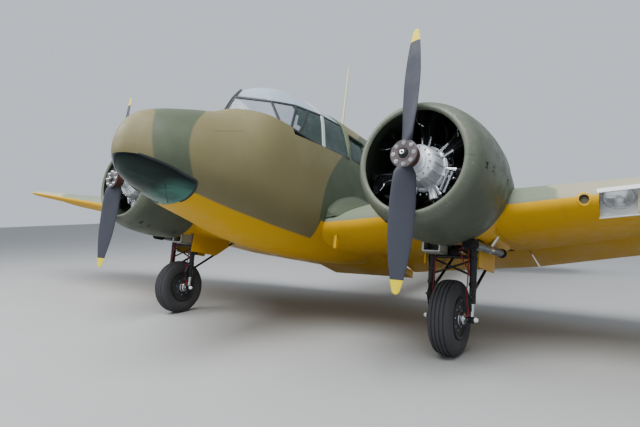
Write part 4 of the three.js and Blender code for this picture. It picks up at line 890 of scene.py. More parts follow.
def makeCanopy(s):
    glass = Shape()
    across = np.linspace(0, 6, s["across"])[None, :]
    for k in range(4):
        rows = np.linspace(k, k + 1, 9)[:, None]
        outer = canopySurface(s, rows, across)
        inner = outer - canopyOutward(s, rows, across) * s["glass"]
        glass.solid(np.concatenate([outer, inner[:, ::-1]], axis=1))
    thing = glass.piece("canopyGlass", "glass roofGlass frontGlass", "canopy_glass", "canopy_glass", angle=30)
    # Panes above the rail get the pale painted sky reflection, the windscreen ahead of the first post its own
    # painted reflection, and the rest the dark painted reflection of the side panes
    mesh = thing.data
    centres = np.zeros(len(mesh.polygons) * 3)
    mesh.polygons.foreach_get("center", centres)
    level = levelled(centres.reshape(-1, 3))
    rail = np.interp(level[:, 1], [-1.46, -1.19, -0.87, -0.39, 0.08], [2.24, 2.23, 2.29, 2.34, 2.37])
    kind = np.where(level[:, 2] > rail, 1, np.where(level[:, 1] < -0.9, 2, 0))
    mesh.polygons.foreach_set("material_index", kind.astype(int).tolist())
    bars = Shape()

    def lay(frameAt, place, *section):
        bars.strip(canopySurface(s, frameAt, place), canopyOutward(s, frameAt, place), *section)
    fine, along = np.linspace(0, 6, 61), np.linspace(0, 4, 45)
    for k, width, mark in ((0, 0.02, 0), (3, 0.06, 1), (4, 0.04, 0)):
        lay(np.full(len(fine), float(k)), fine, width, -0.016, 0.007, mark)
    for place, width, low, mark in ((0.0, 0.046, -0.03, 0), (1.05, 0.04, -0.014, 0), (3.0, 0.014, -0.01, 1),
                                    (4.95, 0.04, -0.014, 0), (6.0, 0.046, -0.03, 0)):
        lay(along, np.full(len(along), place), width, low, 0.008, mark)
    # Side posts: each leans from its place on the sill to its place on the rail
    rise = 1.05
    for footAt, headAt in ((1.0, 1.0), (2.0, 2.0), (2.23, 2.44)):
        part = np.linspace(0, rise, 20)
        at = footAt + (headAt - footAt) * part / rise
        for run in (part, 6 - part):
            lay(at, run, 0.034, -0.012, 0.007)
    bars.piece("canopyFrame", "frameGrey postGrey", "green_paint", "canopy_frame")


makeCanopy(canopy)


def makeCabinWindows(s):
    # One pane a window, set in from the skin and following its curve
    (low, high), lap = s["windowHeights"], 0.012
    panes = Shape()
    for fromY, toY in s["windows"]:
        y, z = np.meshgrid(np.linspace(fromY - lap, toY + lap, 12), np.linspace(low - lap, high + lap, 10))
        outer = np.stack([bodyHalfAt(y, z, 0.031), y, z], axis=-1)
        inner = outer - np.array([0.006, 0, 0])
        panes.solid(np.concatenate([outer, inner[:, ::-1]], axis=1))
    # The panes take the side glass, whose dark tint is painted reflection
    panes.pair("cabinWindow_*", "glass", "canopy_glass", "cabin_window_*")


makeCabinWindows(fuselage)
print("stage 4: glass and frames made")

wing = {
    # Each station: distance from the centre line, y and height of the leading edge, chord, thickness ratio
    "stations": [
        [0.4, -0.34, 0.921, 2.63, 0.215], [2.62, -0.283, 1.117, 2.49, 0.222],
        [5.1, -0.121, 1.408, 1.872, 0.16], [7.56, 0.04, 1.701, 1.26, 0.12],
        [7.88, 0.13, 1.739, 1.09, 0.115], [8.06, 0.27, 1.761, 0.83, 0.1],
        [8.128, 0.48, 1.769, 0.42, 0.09],
    ],
    "incidence": 3.3, "camber": 0.045, "edge": 0.016, "root": 0.4, "joint": 2.62, "tip": 8.128,
    "thinFrom": 7.98, "flapHinge": 0.745, "flapDroop": 14, "flapThickness": 0.016, "aileronHinge": 0.76,
    "aileron": [5.12, 7.52],
    "flaps": {"inner": [0.745, 2.611], "outer": [2.627, 5.08]}, "points": 41,
    # The root fillet: y, its height on the fuselage and its reach over the wing
    "fillet": [[-0.33, 1.15, 0.8], [-0.28, 1.2, 0.88], [-0.093, 1.32, 1.05], [0.395, 1.45, 1.15],
               [1.000, 1.385, 1.12], [1.55, 1.19, 1.000], [1.95, 1.01, 0.88]],
}


def wingStation(s, at):
    # Lead, height, chord and thickness ratio: straight between stations, rounded at the tip
    at = np.asarray(at, float)
    table = np.array(s["stations"])
    tip = through(table[3:], np.maximum(at, table[3, 0]))
    return np.where((at > table[3, 0])[..., None], tip, between(table, at))


def foilHeights(part, chord, thickness, camber, edge):
    # Half thickness 5 t c (0.2969 sqrt(f) - 0.126 f - 0.3516 f^2 + 0.2843 f^3 - 0.1036 f^4) about the middle
    # line 4 camber c f (1 - f), and no thinner than the edge towards the back
    half = 5 * thickness * chord * (0.2969 * np.sqrt(part) - 0.126 * part - 0.3516 * part ** 2
                                    + 0.2843 * part ** 3 - 0.1036 * part ** 4)
    half = np.where(part > 0.5, np.maximum(half, edge / 2), half)
    return camber * 4 * part * (1 - part) * chord, half


def wingPlace(s, at, aft, up, station):
    # A section's own directions are turned by the wing's incidence and set at its leading edge
    turn = radians(s["incidence"])
    y = station[..., 0] + aft * cos(turn) + up * sin(turn)
    z = station[..., 1] - aft * sin(turn) + up * cos(turn)
    return np.stack([at + 0 * y, y, z], axis=-1)


def wingRings(s, at, points=None):
    # Section rings from the upper trailing edge round the nose to the lower one, with points close together
    # at the nose: f = (1 - cos t) / 2. Near the tip they thin as an ellipse does
    part = (1 - np.cos(np.linspace(0, pi, points or s["points"]))) / 2
    at = np.asarray(at, float)[:, None]
    station = wingStation(s, at)
    chord, thickness = station[..., 2], station[..., 3]
    thin = np.sqrt(np.clip(1 - ((at - s["thinFrom"]) / 0.155) ** 2, 0.04, 1))
    thin = np.where(at > s["thinFrom"], thin, 1)
    middle, half = foilHeights(part[None, :], chord, thickness * thin, s["camber"], s["edge"])
    half = half * thin
    upper = wingPlace(s, at, part[None, :] * chord, middle + half, station)
    lower = wingPlace(s, at, part[None, :] * chord, middle - half, station)
    return np.concatenate([upper[:, ::-1], lower[:, 1:]], axis=1)


def flapLine(s, at):
    # The split flap's own line: its front end, its slope and its length, on the lower surface
    station = wingStation(s, at)
    chord, thickness = station[..., 2], station[..., 3]
    radius = s["flapThickness"] / 2
    ends = []
    for part in (s["flapHinge"], 1.0):
        middle, half = foilHeights(np.array(part), chord, thickness, s["camber"], s["edge"])
        ends.append((part * chord, middle - half + radius))
    slope = atan2(ends[1][1] - ends[0][1], ends[1][0] - ends[0][0])
    length = hypot(ends[1][0] - ends[0][0], ends[1][1] - ends[0][1])
    return station, ends[0], slope, length


def turnedRows(rows, slope, start=(0, 0)):  # local (aft, up) pairs turned nose down by a slope and moved
    rows = np.asarray(rows, float)
    return (start[0] + rows[:, 0] * cos(slope) - rows[:, 1] * sin(slope),
            start[1] + rows[:, 0] * sin(slope) + rows[:, 1] * cos(slope))


def flapRing(s, at, section):
    station, front, slope, length = flapLine(s, at)
    return wingPlace(s, at, *turnedRows(section(length), slope, front), station)


def roundNose(radius, steps=11):  # the half circle at the front of a plate, from its top to its bottom
    angle = np.linspace(pi / 2, 3 * pi / 2, steps)
    return [(radius * cos(a), radius * sin(a)) for a in angle]


def wingSkin(s, thing):
    # The skin attribute: distance from the leading edge, above nought over the middle line and below it under
    mesh = thing.data
    flat = np.zeros(len(mesh.vertices) * 3)
    mesh.vertices.foreach_get("co", flat)
    level = levelled(flat.reshape(-1, 3))
    span = np.abs(level[:, 0])
    station = wingStation(s, np.clip(span, s["root"], s["tip"]))
    turn = radians(s["incidence"])
    dy, dz = level[:, 1] - station[:, 0], level[:, 2] - station[:, 1]
    aft = dy * cos(turn) - dz * sin(turn)
    up = dy * sin(turn) + dz * cos(turn)
    part = np.clip(aft / station[:, 2], 0, 1)
    middle = s["camber"] * 4 * part * (1 - part) * station[:, 2]
    distance = np.hypot(np.maximum(aft, 0), up - middle)
    layer = mesh.attributes.new("skin", "FLOAT", "POINT")
    layer.data.foreach_set("value", (np.sign(up - middle) * distance).astype(np.float32))
    return thing


bay = {"half": 0.29, "fromY": -0.15, "toY": 1.52, "top": 1.045}


def wheelBay(s):  # the room over the wheel, open below
    return prism(np.array([[s["fromY"], 0.3], [s["toY"], 0.3], [s["toY"], s["top"]], [s["fromY"], s["top"]]]),
                 halfTrack - s["half"], halfTrack + s["half"])


def flapRecess(s, fromAt, toAt):
    front, back, below = -s["flapThickness"] / 2 - 0.009, 0.06, -0.09

    def section(length):
        return [(front, below), (front, -front), (length + back, -front - 0.003), (length + back, below)]
    return Shape().solid([flapRing(s, at, section) for at in (fromAt - 0.01, toAt + 0.01)])


def aileronSection(s, at, grow=0.0):
    # Round nose about the hinge, then straight to the trailing edge. With a growth it is the room cut for it
    station = wingStation(s, at)
    chord, thickness = station[2], station[3]
    middle, half = foilHeights(np.array(s["aileronHinge"]), chord, thickness, s["camber"], s["edge"])
    axisAft = s["aileronHinge"] * chord
    nose = np.array(roundNose(half + grow, 19)) + [axisAft, middle]
    if grow:
        far, clear = chord + 0.2, 0.4
        rows = np.vstack([[[far, clear], [axisAft, clear]], nose, [[axisAft, -clear], [far, -clear]]])
    else:
        part = np.linspace(s["aileronHinge"], 1, 12)[1:]
        rise, thick = foilHeights(part, chord, thickness, s["camber"], s["edge"])
        share = (part - s["aileronHinge"]) / (1 - s["aileronHinge"])
        straight = middle * (1 - share) + rise[-1] * share
        thin = half * (1 - share) + thick[-1] * share
        upper = np.column_stack([part * chord, straight + thin])
        lower = np.column_stack([part * chord, straight - thin])
        rows = np.vstack([upper[::-1], nose, lower])
    return wingPlace(s, at, rows[:, 0], rows[:, 1], station)


def makeFillet(s):
    # From the fuselage side to the wing's top in a hollow curve: A (1-t)^2 + 2 C t (1-t) + B t^2, where C is
    # the corner between them
    rows = np.array(s["fillet"])
    y = np.linspace(rows[0, 0], rows[-1, 0], 60)
    t = np.linspace(0, 1, 14)[:, None]
    inside = 0.58
    rings = []
    for place, (top, reach) in zip(y, through(rows, y)):
        side = float(bodyHalfAt(place, top)) - 0.004
        corner = np.array([side + 0.01, place, wingTop(s, side, place) + 0.01])
        start = np.array([side, place, top])
        end = np.array([reach, place, wingTop(s, reach, place) + 0.001])
        curve = start * (1 - t) ** 2 + 2 * corner * t * (1 - t) + end * t ** 2
        under = [[reach, place, wingTop(s, reach, place) - 0.02],
                 [inside, place, wingTop(s, 0.6, place) - 0.04], [inside, place, top]]
        rings.append(np.vstack([curve, under]))
    return Shape().solid(rings)


def wingTop(s, at, y):
    station = wingStation(s, np.clip(at, s["root"], s["tip"]))
    part = np.array(min(max((y - station[0]) / station[2], 0.015), 1.0))
    middle, half = foilHeights(part, station[2], station[3], s["camber"], s["edge"])
    return float(wingPlace(s, at, part * station[2], middle + half, station)[2])


lampBay = {"from": 3.53, "to": 4.14, "back": 0.02, "below": 0.19, "above": 0.027, "roof": 0.115, "oval": 1.2,
           "holeAt": 3.42, "holeZ": 1.195}


def lampPrism(s, above, inset=0.0):
    # The room for the lamps follows the height of the leading edge along the span
    front, back = -0.6, s["back"] - inset
    rings = []
    for at in (s["from"] + inset, s["to"] - inset):
        height = float(wingStation(wing, at)[1])
        low, high = height - s["below"] + inset, height + above - inset
        rings.append([(at, front, low), (at, back, low), (at, back, high), (at, front, high)])
    return Shape().solid(rings)


def carveLamps(s, thing):  # the bay behind the lamps' cover and the round hole beside it
    carve(thing, lampPrism(s, s["above"]), mark=1)
    pocket = Shape().solid(wingRings(wing, np.linspace(3.3, 4.4, 9)) + [0, 0.025, 0]).made("pocket")
    carve(pocket, lampPrism(s, s["roof"]), "INTERSECT")
    carve(thing, pocket, mark=1)
    at, z = s["holeAt"], s["holeZ"]
    hole = Shape().rod((at, -0.4, z), (at, -0.198, z), 0.042, 40, edge=0.01)
    carve(thing, hole, mark=1)


def makeWings(s):
    low, high = s["aileron"]
    bevel, clear = 0.0015, 0.012
    innerAt = np.linspace(0.45, s["joint"] - bevel, 24)
    outerAt = np.concatenate([np.linspace(s["joint"] + bevel, 7.56, 46),
                              7.56 + 0.568 * np.sin(np.linspace(0, pi / 2, 26))[1:]])
    room = Shape().solid([aileronSection(s, at, 0.006) for at in (low - clear, high + clear)])
    parts = (("Centre", innerAt, (flapRecess(s, *s["flaps"]["inner"]), wheelBay(bay))),
             ("Outer", outerAt, (flapRecess(s, *s["flaps"]["outer"]), room)))
    for part, at, tools in parts:
        panel = Shape().solid(wingRings(s, at))
        for word, side in sides:
            thing = panel.made(f"wing{part}_{word}", "wing bay", side=side)
            for tool in tools:
                carve(thing, tool, mark=1, side=side)
            if part == "Outer" and side > 0:
                carveLamps(lampBay, thing)
            wingSkin(s, thing)
            dressed(thing, "airframe", f"wing_{part.lower()}_{word}")
    makeFillet(s).pair("wingFillet_*", "tail", "yellow_paint", angle=50)
    pad = Shape().rod((1.35, 0.25, 0.7415), (1.35, 0.25, 0.8), 0.058, 32)
    pad.rod((1.35, 0.25, 0.7412), (1.35, 0.25, 0.78), 0.02, 16)
    pad.pair("jackPad_*", "dullSteel", "bare_steel")
    for word, ends in s["flaps"].items():
        makeFlap(s, word, *ends)
    aileron = Shape().solid([aileronSection(s, at) for at in np.linspace(low, high, 12)])
    for word, side in sides:
        wingSkin(s, aileron.piece(f"aileron_{word}_skin", "wing", "yellow_paint", f"aileron_{word}",
                                  f"aileron_{word}", 40, side))


def makeFlap(s, word, low, high):
    # A thin plate with a round nose and raised ribs on its face, drooped about the line through its nose
    radius = s["flapThickness"] / 2

    def section(length):
        return roundNose(radius) + [(length * 0.5, -radius), (length, -radius), (length, -radius * 0.35),
                                    (length * 0.5, radius * 0.3)]

    def ribSection(length):
        top, bottom = -radius + 0.001, -radius - 0.0015
        return [(0.01, top), (length - 0.03, top), (length - 0.03, bottom), (0.01, bottom)]

    def hinge(at):
        station, front, _, _ = flapLine(s, at)
        return wingPlace(s, at, np.array(front[0]), np.array(front[1]), station)
    start, end = hinge(low), hinge(high)
    droop = np.array(Matrix.Rotation(-radians(s["flapDroop"]), 3, Vector(unit(end - start)))).T
    shape = Shape()

    def addDrooped(stations, part):
        rings = np.array([flapRing(s, at, part) for at in stations])
        shape.solid((rings - start) @ droop + start)
    addDrooped(np.linspace(low, high, 14), section)
    for at in np.linspace(low + 0.05, high - 0.05, int((high - low) / 0.32) + 1):
        addDrooped((at - 0.006, at + 0.006), ribSection)
    shape.pair(f"flap_{word}_*_skin", "yellow", "yellow_paint", f"flap_{word}_*", f"flap_{word}_*")


makeWings(wing)
print("stage 5: wings made")

centreFlap = {"half": 0.69, "hingeY": 1.66, "hingeZ": 0.641, "length": 0.6, "rise": 5, "droop": 14,
              "step": [0.772, -0.245, 0.655]}


def makeCentreFlap(s):
    # A thin plate across the fuselage's belly, turned down about its front edge, with an upright plate at
    # each of its ends
    radius = wing["flapThickness"] / 2
    length, hinge, tilt = s["length"], (s["hingeY"], s["hingeZ"]), radians(s["rise"] - s["droop"])
    rows = roundNose(radius) + [(length, -radius), (length, -radius * 0.35)]
    shape = Shape().slab(np.column_stack(turnedRows(rows, tilt, hinge)), -s["half"], s["half"], "x", 0.002)
    rows = [[0.03, -radius], [length, -radius], [length, 0.112], [0.3, 0.082], [0.03, 0.022]]
    plate = np.column_stack(turnedRows(rows, tilt, hinge))
    for side in (-1, 1):
        low, high = sorted((side * (s["half"] - 0.003), side * 0.7335))
        shape.slab(plate, low, high, "x", 0.002)
    shape.piece("flap_centre_skin", "yellow", "yellow_paint", "flap_centre", "flap_centre")


def makeBelly(s):
    # Closes the underside ahead of the centre flap: from the wing's lower side down to the flap's hinge line
    section = [(1.02, 0.752), (1.3, 0.712), (1.52, 0.664), (1.645, 0.636), (1.645, 0.9), (1.02, 0.9)]
    reach = s["half"] + 0.008
    shape = Shape().solid([[(at,) + point for point in section] for at in np.linspace(-reach, reach, 21)])
    # A short fin-shaped step under each wing root
    x, y, z = s["step"]
    outline = roundedOutline(y, y + 0.036, z, z + 0.2, 0.012)
    for side in (-1, 1):
        shape.slab(outline, *sorted((side * x, side * (x + 0.034))), "x", 0.004)
    shape.piece("bellyFairing", "belly", "yellow_paint")


makeCentreFlap(centreFlap)
makeBelly(centreFlap)

nacelle = {
    # Each section: y, half width, top, bottom and height of the widest place
    "sections": [
        [-0.345, 0.6217, 1.9717, 0.7283, 1.35], [-0.315, 0.6217, 1.9717, 0.7283, 1.35],
        [-0.08, 0.6, 1.935, 0.748, 1.34], [0.35, 0.545, 1.85, 0.715, 1.28],
        [0.85, 0.46, 1.7, 0.725, 1.18], [1.25, 0.365, 1.53, 0.79, 1.11],
        [1.56, 0.27, 1.39, 0.955, 1.06], [1.85, 0.185, 1.25, 0.935, 1.01],
        [2.2, 0.06, 1.045, 0.92, 0.96],
    ],
    "scoop": {"x": [-0.247, -0.045], "y": [-0.3, -0.07], "z": [0.652, 0.83]},
}


def makeNacelles(s):
    # Ellipses of half width a, reaching up to the top and down to the bottom from the widest height
    y = np.linspace(s["sections"][0][0], s["sections"][-1][0], 70)
    half, top, bottom, wide = np.moveaxis(through(s["sections"], y)[:, None, :], -1, 0)
    angle = circle(72)[None, :]
    reach = np.where(np.sin(angle) >= 0, top - wide, wide - bottom)
    x, z = halfTrack + half * np.cos(angle), wide + reach * np.sin(angle)
    skin = Shape().solid(np.stack([x, y[:, None] + 0 * angle, z], axis=-1))
    for word, side in sides:
        thing = skin.made(f"nacelleSkin_{word}", "nacelle bay", side=side)
        carve(thing, wheelBay(bay), mark=1, side=side)
        dressed(thing, "airframe", f"nacelle_{word}")
    # The air intake: four walls and a back, with a bright lip along its floor and sides
    (x0, x1), (y0, y1), (z0, z1) = (s["scoop"][key] for key in "xyz")
    x0, x1 = halfTrack + x0, halfTrack + x1
    thick, lip, lipBack = 0.01, 0.017, y0 + 0.014
    scoop = Shape()
    for low, high in (((x0, y0, z0), (x1, y1, z0 + thick)), ((x0, y0, z1 - thick), (x1, y1, z1)),
                      ((x0, y0, z0), (x0 + thick, y1, z1)), ((x1 - thick, y0, z0), (x1, y1, z1)),
                      ((x0, y1 - 0.02, z0), (x1, y1, z1))):
        scoop.block(low, high, 0.002)
    for low, high in (((x0, y0, z0), (x1, lipBack, z0 + lip)), ((x0, y0, z0), (x0 + lip, lipBack, z1)),
                      ((x1 - lip, y0, z0), (x1, lipBack, z1))):
        scoop.block(low, high, 0.004, mark=1)
    scoop.pair("intakeScoop_*", "scoopGrey case", "green_paint")


makeNacelles(nacelle)

cowl = {
    # Distance along the shaft and radius, round the whole section
    "profile": [[-0.32, 0.636], [-0.6, 0.65], [-0.85, 0.64], [-1.05, 0.61], [-1.18, 0.57],
                [-1.25, 0.53], [-1.27, 0.495], [-1.25, 0.47], [-1.225, 0.515], [-1.18, 0.552],
                [-1.05, 0.596], [-0.85, 0.626], [-0.6, 0.636], [-0.36, 0.622], [-0.32, 0.622]],
    "latchTurns": [-0.06, 2.36, -2.06], "latchY": [-1.06, -0.93, -0.5],
}


def makeCowls(s):
    centre = np.array([halfTrack, 0, engineZ])
    shape = Shape().turned(rounded(s["profile"], 90), centre, "y", 112)
    reach = np.array([0, 0.022, 0])
    for turn in s["latchTurns"]:
        out = np.array([cos(turn), 0, sin(turn)])
        across = np.array([-sin(turn), 0, cos(turn)])
        for y in s["latchY"]:
            radius = float(np.interp(y, [-1.05, -0.85, -0.6, -0.32], [0.61, 0.64, 0.65, 0.636]))
            point = centre + out * (radius + 0.001) + np.array([0, y, 0])
            for offset in (-0.02, 0.02):
                spot = point + across * offset
                shape.tube([spot - reach, spot, spot + reach], [0.004, 0.006, 0.004], 8, mark=1)
            shape.tube([point - across * 0.026, point + across * 0.026], 0.003, 8, mark=1)
    shape.pair("cowlSkin_*", "cowl black", "green_paint", "cowl_*", angle=40)


makeCowls(cowl)
print("stage 6: nacelles and cowls made")

engine = {
    # Distance along the shaft and radius, from the back to the nose
    "crankcase": [[-0.346, 0.0], [-0.346, 0.33], [-0.56, 0.3], [-0.64, 0.25], [-0.76, 0.235],
                  [-0.765, 0.222], [-0.955, 0.222], [-0.96, 0.212], [-0.975, 0.212], [-0.98, 0.196],
                  [-1.000, 0.19], [-1.1, 0.184], [-1.145, 0.176], [-1.168, 0.16], [-1.178, 0.14],
                  [-1.184, 0.108], [-1.2, 0.104], [-1.205, 0.084], [-1.24, 0.078], [-1.298, 0.074],
                  [-1.298, 0.0]],
    "cylinders": 7, "cylinderY": -0.86, "fins": 17, "headFins": 7, "sides": 26, "bolts": 14,
}


def spun(points, turn, centre):
    # Local points (sideways, y, outwards) turned about the shaft: 0 stands upright
    points = np.asarray(points, float)
    side, y, out = points[..., 0], points[..., 1], points[..., 2]
    c, s = cos(turn), sin(turn)
    return np.stack([centre[0] + side * c + out * s, y, centre[2] + out * c - side * s], axis=-1)


def makeEngines(s):
    centre = np.array([halfTrack, 0, engineZ])
    y0 = s["cylinderY"]
    shape = Shape().turned(s["crankcase"], centre, "y", 64, 0, closed=False)

    def addRod(turn, start, end, radius, sides, mark):
        shape.rod(*spun([start, end], turn, centre), radius, sides, mark=mark)
    for index in range(s["cylinders"]):
        addCylinder(s, shape, 2 * pi * index / s["cylinders"], centre)
    for index in range(s["bolts"]):
        turn = 2 * pi * (index + 0.5) / s["bolts"]
        for radius, y in ((0.2, -0.985), (0.142, -1.176)):
            addRod(turn, (0, y + 0.012, radius), (0, y - 0.014, radius), 0.0085, 6, 2)
        rib = [(0, -0.995, 0.191), (0, -1.06, 0.187), (0, -1.12, 0.181), (0, -1.16, 0.168)]
        shape.tube(spun(rib, turn, centre), 0.0075, 6)
    # Two pipes and the sump low on the case, the collector ring behind and the lead ring in front
    for shift in (0.0, 0.046):
        addRod(2.15, (-0.11, y0 - 0.125, 0.222 + shift), (0.09, y0 - 0.11, 0.262 + shift), 0.0185, 16, 2)
    addRod(2.85, (-0.02, -0.93, 0.17), (-0.02, -0.95, 0.325), 0.042, 22, 0)
    once = np.linspace(0, 2 * pi, 49)
    for reach, back, radius, around, mark in ((0.315, 0.17, 0.032, 12, 3), (0.262, -0.055, 0.011, 8, 4)):
        ring = [(sin(a) * reach, y0 + back, cos(a) * reach) for a in once]
        shape.tube(ring + centre * [1, 0, 1], radius, around, False, mark=mark)
    shape.pair("engineWorks_*", "case finMetal steel exhaust black", "bare_steel", "engine_*", angle=32)


def addCylinder(s, shape, turn, centre):
    # A finned barrel and head, pushrods, rocker boxes, intake pipe and plugs, all turned about the shaft.
    # Each place is (sideways, behind the cylinder's middle, out from the shaft)
    y0 = s["cylinderY"]
    profile = [(0.205, 0.088), (0.225, 0.088), (0.228, 0.1), (0.24, 0.1)]
    for fin in range(s["fins"]):
        low, reach, root = 0.248 + fin * (0.192 / s["fins"]), 0.102 + 0.002 * (fin % 2), 0.084
        profile += [(low - 0.001, root), (low, reach), (low + 0.0045, reach), (low + 0.0055, root)]
    for fin in range(s["headFins"]):
        low, reach, root = 0.444 + fin * 0.0165, 0.118 - 0.0035 * fin, 0.09 - 0.002 * fin
        profile += [(low - 0.001, root), (low, reach), (low + 0.005, reach), (low + 0.006, root)]
    rows = np.array(profile + [(0.562, 0.07), (0.575, 0.0)])
    angle = circle(s["sides"])
    ring = (rows[:, 1:] * np.cos(angle), y0 + rows[:, 1:] * np.sin(angle), rows[:, :1] + 0 * angle)
    shape.solid(spun(np.stack(ring, axis=-1), turn, centre), 1)

    def spunPath(points, side=1):
        return spun(np.array(points, float) * [side, 1, 1] + [0, y0, 0], turn, centre)
    for side in (-1, 1):
        # Push rod, its sleeve, nut and cup, the rocker box's cap, the plug, then the box and the plug's lead
        for start, end, radius, sides, mark in (
                ((0.03, -0.105, 0.195), (0.07, -0.075, 0.54), 0.0115, 14, 4),
                ((0.03, -0.105, 0.19), (0.044, -0.095, 0.31), 0.0185, 14, 2),
                ((0.03, -0.105, 0.188), (0.0325, -0.103, 0.212), 0.0235, 6, 0),
                ((0.068, -0.076, 0.505), (0.07, -0.075, 0.53), 0.0185, 14, 4),
                ((0.064, -0.022, 0.568), (0.064, -0.022, 0.583), 0.014, 6, 2),
                ((0.045, -0.078, 0.47), (0.06, -0.128, 0.478), 0.0095, 10, 2)):
            shape.rod(*spunPath([start, end], side), radius, sides, mark=mark)
        x0, x1 = (0.022, 0.105) if side > 0 else (-0.105, -0.022)
        box = []
        for out, inset in ((0.508, 0.004), (0.512, 0), (0.552, 0), (0.566, 0.01), (0.573, 0.024)):
            flat = roundedOutline(x0 + inset, x1 - inset, -0.103 + inset, 0.058 - inset, 0.02, 4)
            box.append(np.column_stack([flat, np.full(len(flat), out)]))
        shape.solid(spunPath(box), 1)
        lead = spunPath([(0.06, -0.126, 0.478), (0.052, -0.148, 0.43), (0.03, -0.12, 0.34),
                         (0.018, -0.062, 0.268)], side)
        shape.tube(rounded(lead, 22), 0.0052, 8, mark=4)
    # Intake pipe, a thin bright primer pipe bent round the head, and the exhaust stub
    for points, count, radius, sides, mark in (
            ([(0.06, 0.16, 0.235), (0.112, 0.12, 0.33), (0.122, 0.08, 0.44), (0.085, 0.045, 0.515)],
             26, 0.022, 14, 4),
            ([(-0.03, -0.1, 0.42), (-0.085, -0.118, 0.455), (-0.112, -0.12, 0.505), (-0.1, -0.095, 0.552)],
             24, 0.0062, 8, 2),
            ([(-0.07, 0.04, 0.515), (-0.118, 0.08, 0.47), (-0.12, 0.15, 0.39), (-0.07, 0.17, 0.325)],
             26, 0.026, 14, 3)):
        shape.tube(rounded(spunPath(points), count), radius, sides, mark=mark)
    for x in (-0.078, 0.078):
        for y in (-0.075, 0.075):
            shape.rod(*spunPath([(x, y, 0.226), (x, y, 0.243)]), 0.008, 6, mark=2)


makeEngines(engine)
print("stage 7: engines made")

propeller = {
    "bladeY": -1.378, "tip": 1.085, "roundFrom": 1.165,
    # Radius, chord, thickness, pitch in degrees
    "stations": [[0.06, 0.105, 0.095, -50], [0.105, 0.14, 0.092, -48], [0.16, 0.206, 0.08, -46],
                 [0.26, 0.222, 0.068, -42], [0.42, 0.23, 0.052, -34],
                 [0.7, 0.218, 0.036, -26], [0.9, 0.176, 0.026, -22], [1.02, 0.138, 0.02, -19],
                 [1.11, 0.102, 0.014, -17], [1.165, 0.072, 0.011, -16], [1.205, 0.03, 0.008, -15]],
    # Each turned part of the hub: (distance along the shaft, radius) rows, sides, mark, whether it is a ring
    "hub": [([(-0.048, 0), (-0.048, 0.106), (-0.042, 0.112), (0.042, 0.112), (0.048, 0.106), (0.048, 0.085),
              (0.077, 0.085), (0.077, 0)], 56, 0, False),
            ([(-0.062, 0), (-0.062, 0.12), (-0.057, 0.127), (-0.048, 0.128), (-0.044, 0.124), (-0.044, 0)],
             64, 1, False),
            ([(-0.0655, 0.056), (-0.0655, 0.062), (-0.06, 0.064), (-0.06, 0.054)], 48, 1, True),
            ([(-0.08, 0), (-0.08, 0.03), (-0.074, 0.038), (-0.066, 0.042), (-0.062, 0.046), (-0.055, 0.046),
              (-0.055, 0)], 40, 3, False),
            ([(-0.096, 0.01), (-0.098, 0.014), (-0.096, 0.02), (-0.078, 0.022), (-0.078, 0.008)],
             32, 2, True)],
    # Each step of a hub bolt: from, to, radius, sides
    "bolts": [(-0.058, -0.066, 0.0185, 20), (-0.062, -0.078, 0.013, 6), (-0.07, -0.084, 0.0065, 10),
              (0.048, 0.06, 0.012, 6)],
    "boltCount": 8, "boltCircle": 0.096,
}


def makePropellers(s):
    # Blade sections are ovals, fuller in front than behind: chord / 2 along them and thickness / 2 across,
    # turned by the pitch. The tip's outline is rounded as an ellipse is
    tipFrom, last = s["roundFrom"], 1.2045
    radius = np.unique(np.concatenate([np.linspace(0.06, tipFrom, 44), [s["tip"] - 0.001, s["tip"] + 0.001],
                                       np.linspace(tipFrom, last, 8)]))
    chord, thickness, pitch = np.moveaxis(through(s["stations"], radius), -1, 0)
    oval = np.sqrt(np.clip(1 - ((radius - tipFrom) / 0.0408) ** 2, 0.01, 1))
    chord = np.where(radius > tipFrom, 0.072 * oval, chord)
    angle = circle(30)
    along = np.cos(angle)[None, :] * chord[:, None] / 2
    across = np.sin(angle)[None, :] * thickness[:, None] / 2 * np.where(np.sin(angle) < 0, 1.0, 0.75)[None, :]
    turn = np.radians(pitch)[:, None]
    x = along * np.cos(turn) - across * np.sin(turn)
    y = along * np.sin(turn) + across * np.cos(turn)
    for word, side in sides:
        centre = np.array([side * halfTrack, s["bladeY"], engineZ])
        shape = Shape()
        for blade in (1, -1):
            z = blade * np.repeat(radius[:, None], len(angle), 1)
            rings = np.stack([blade * x, y, z], axis=-1) + centre
            before = len(shape.faces)
            shape.solid(rings)
            rowOf = np.arange(len(shape.faces) - before - 2) // len(angle)
            tip = radius[rowOf] >= s["tip"] - 0.0005
            shape.marks[before:before + len(rowOf)] = np.where(tip, 1, 0).tolist()
            shape.marks[-1] = 1
        carrier = f"propeller_{word}"
        shape.piece(f"blades_{word}", "propeller tipYellow", "propeller_paint", carrier, carrier, 50)
        hub = Shape()
        for profile, around, mark, ring in s["hub"]:
            hub.turned(profile, centre, "y", around, mark, closed=ring)
        for index in range(s["boltCount"]):
            spin = 2 * pi * index / s["boltCount"] + 0.05
            at = centre + s["boltCircle"] * np.array([cos(spin), 0, sin(spin)])
            for low, high, size, around in s["bolts"]:
                hub.rod(at + [0, low, 0], at + [0, high, 0], size, around, mark=2)
        hub.piece(f"hub_{word}", "boss plate steel black", "bare_steel", body=carrier)


makePropellers(propeller)
print("stage 8: propellers made")


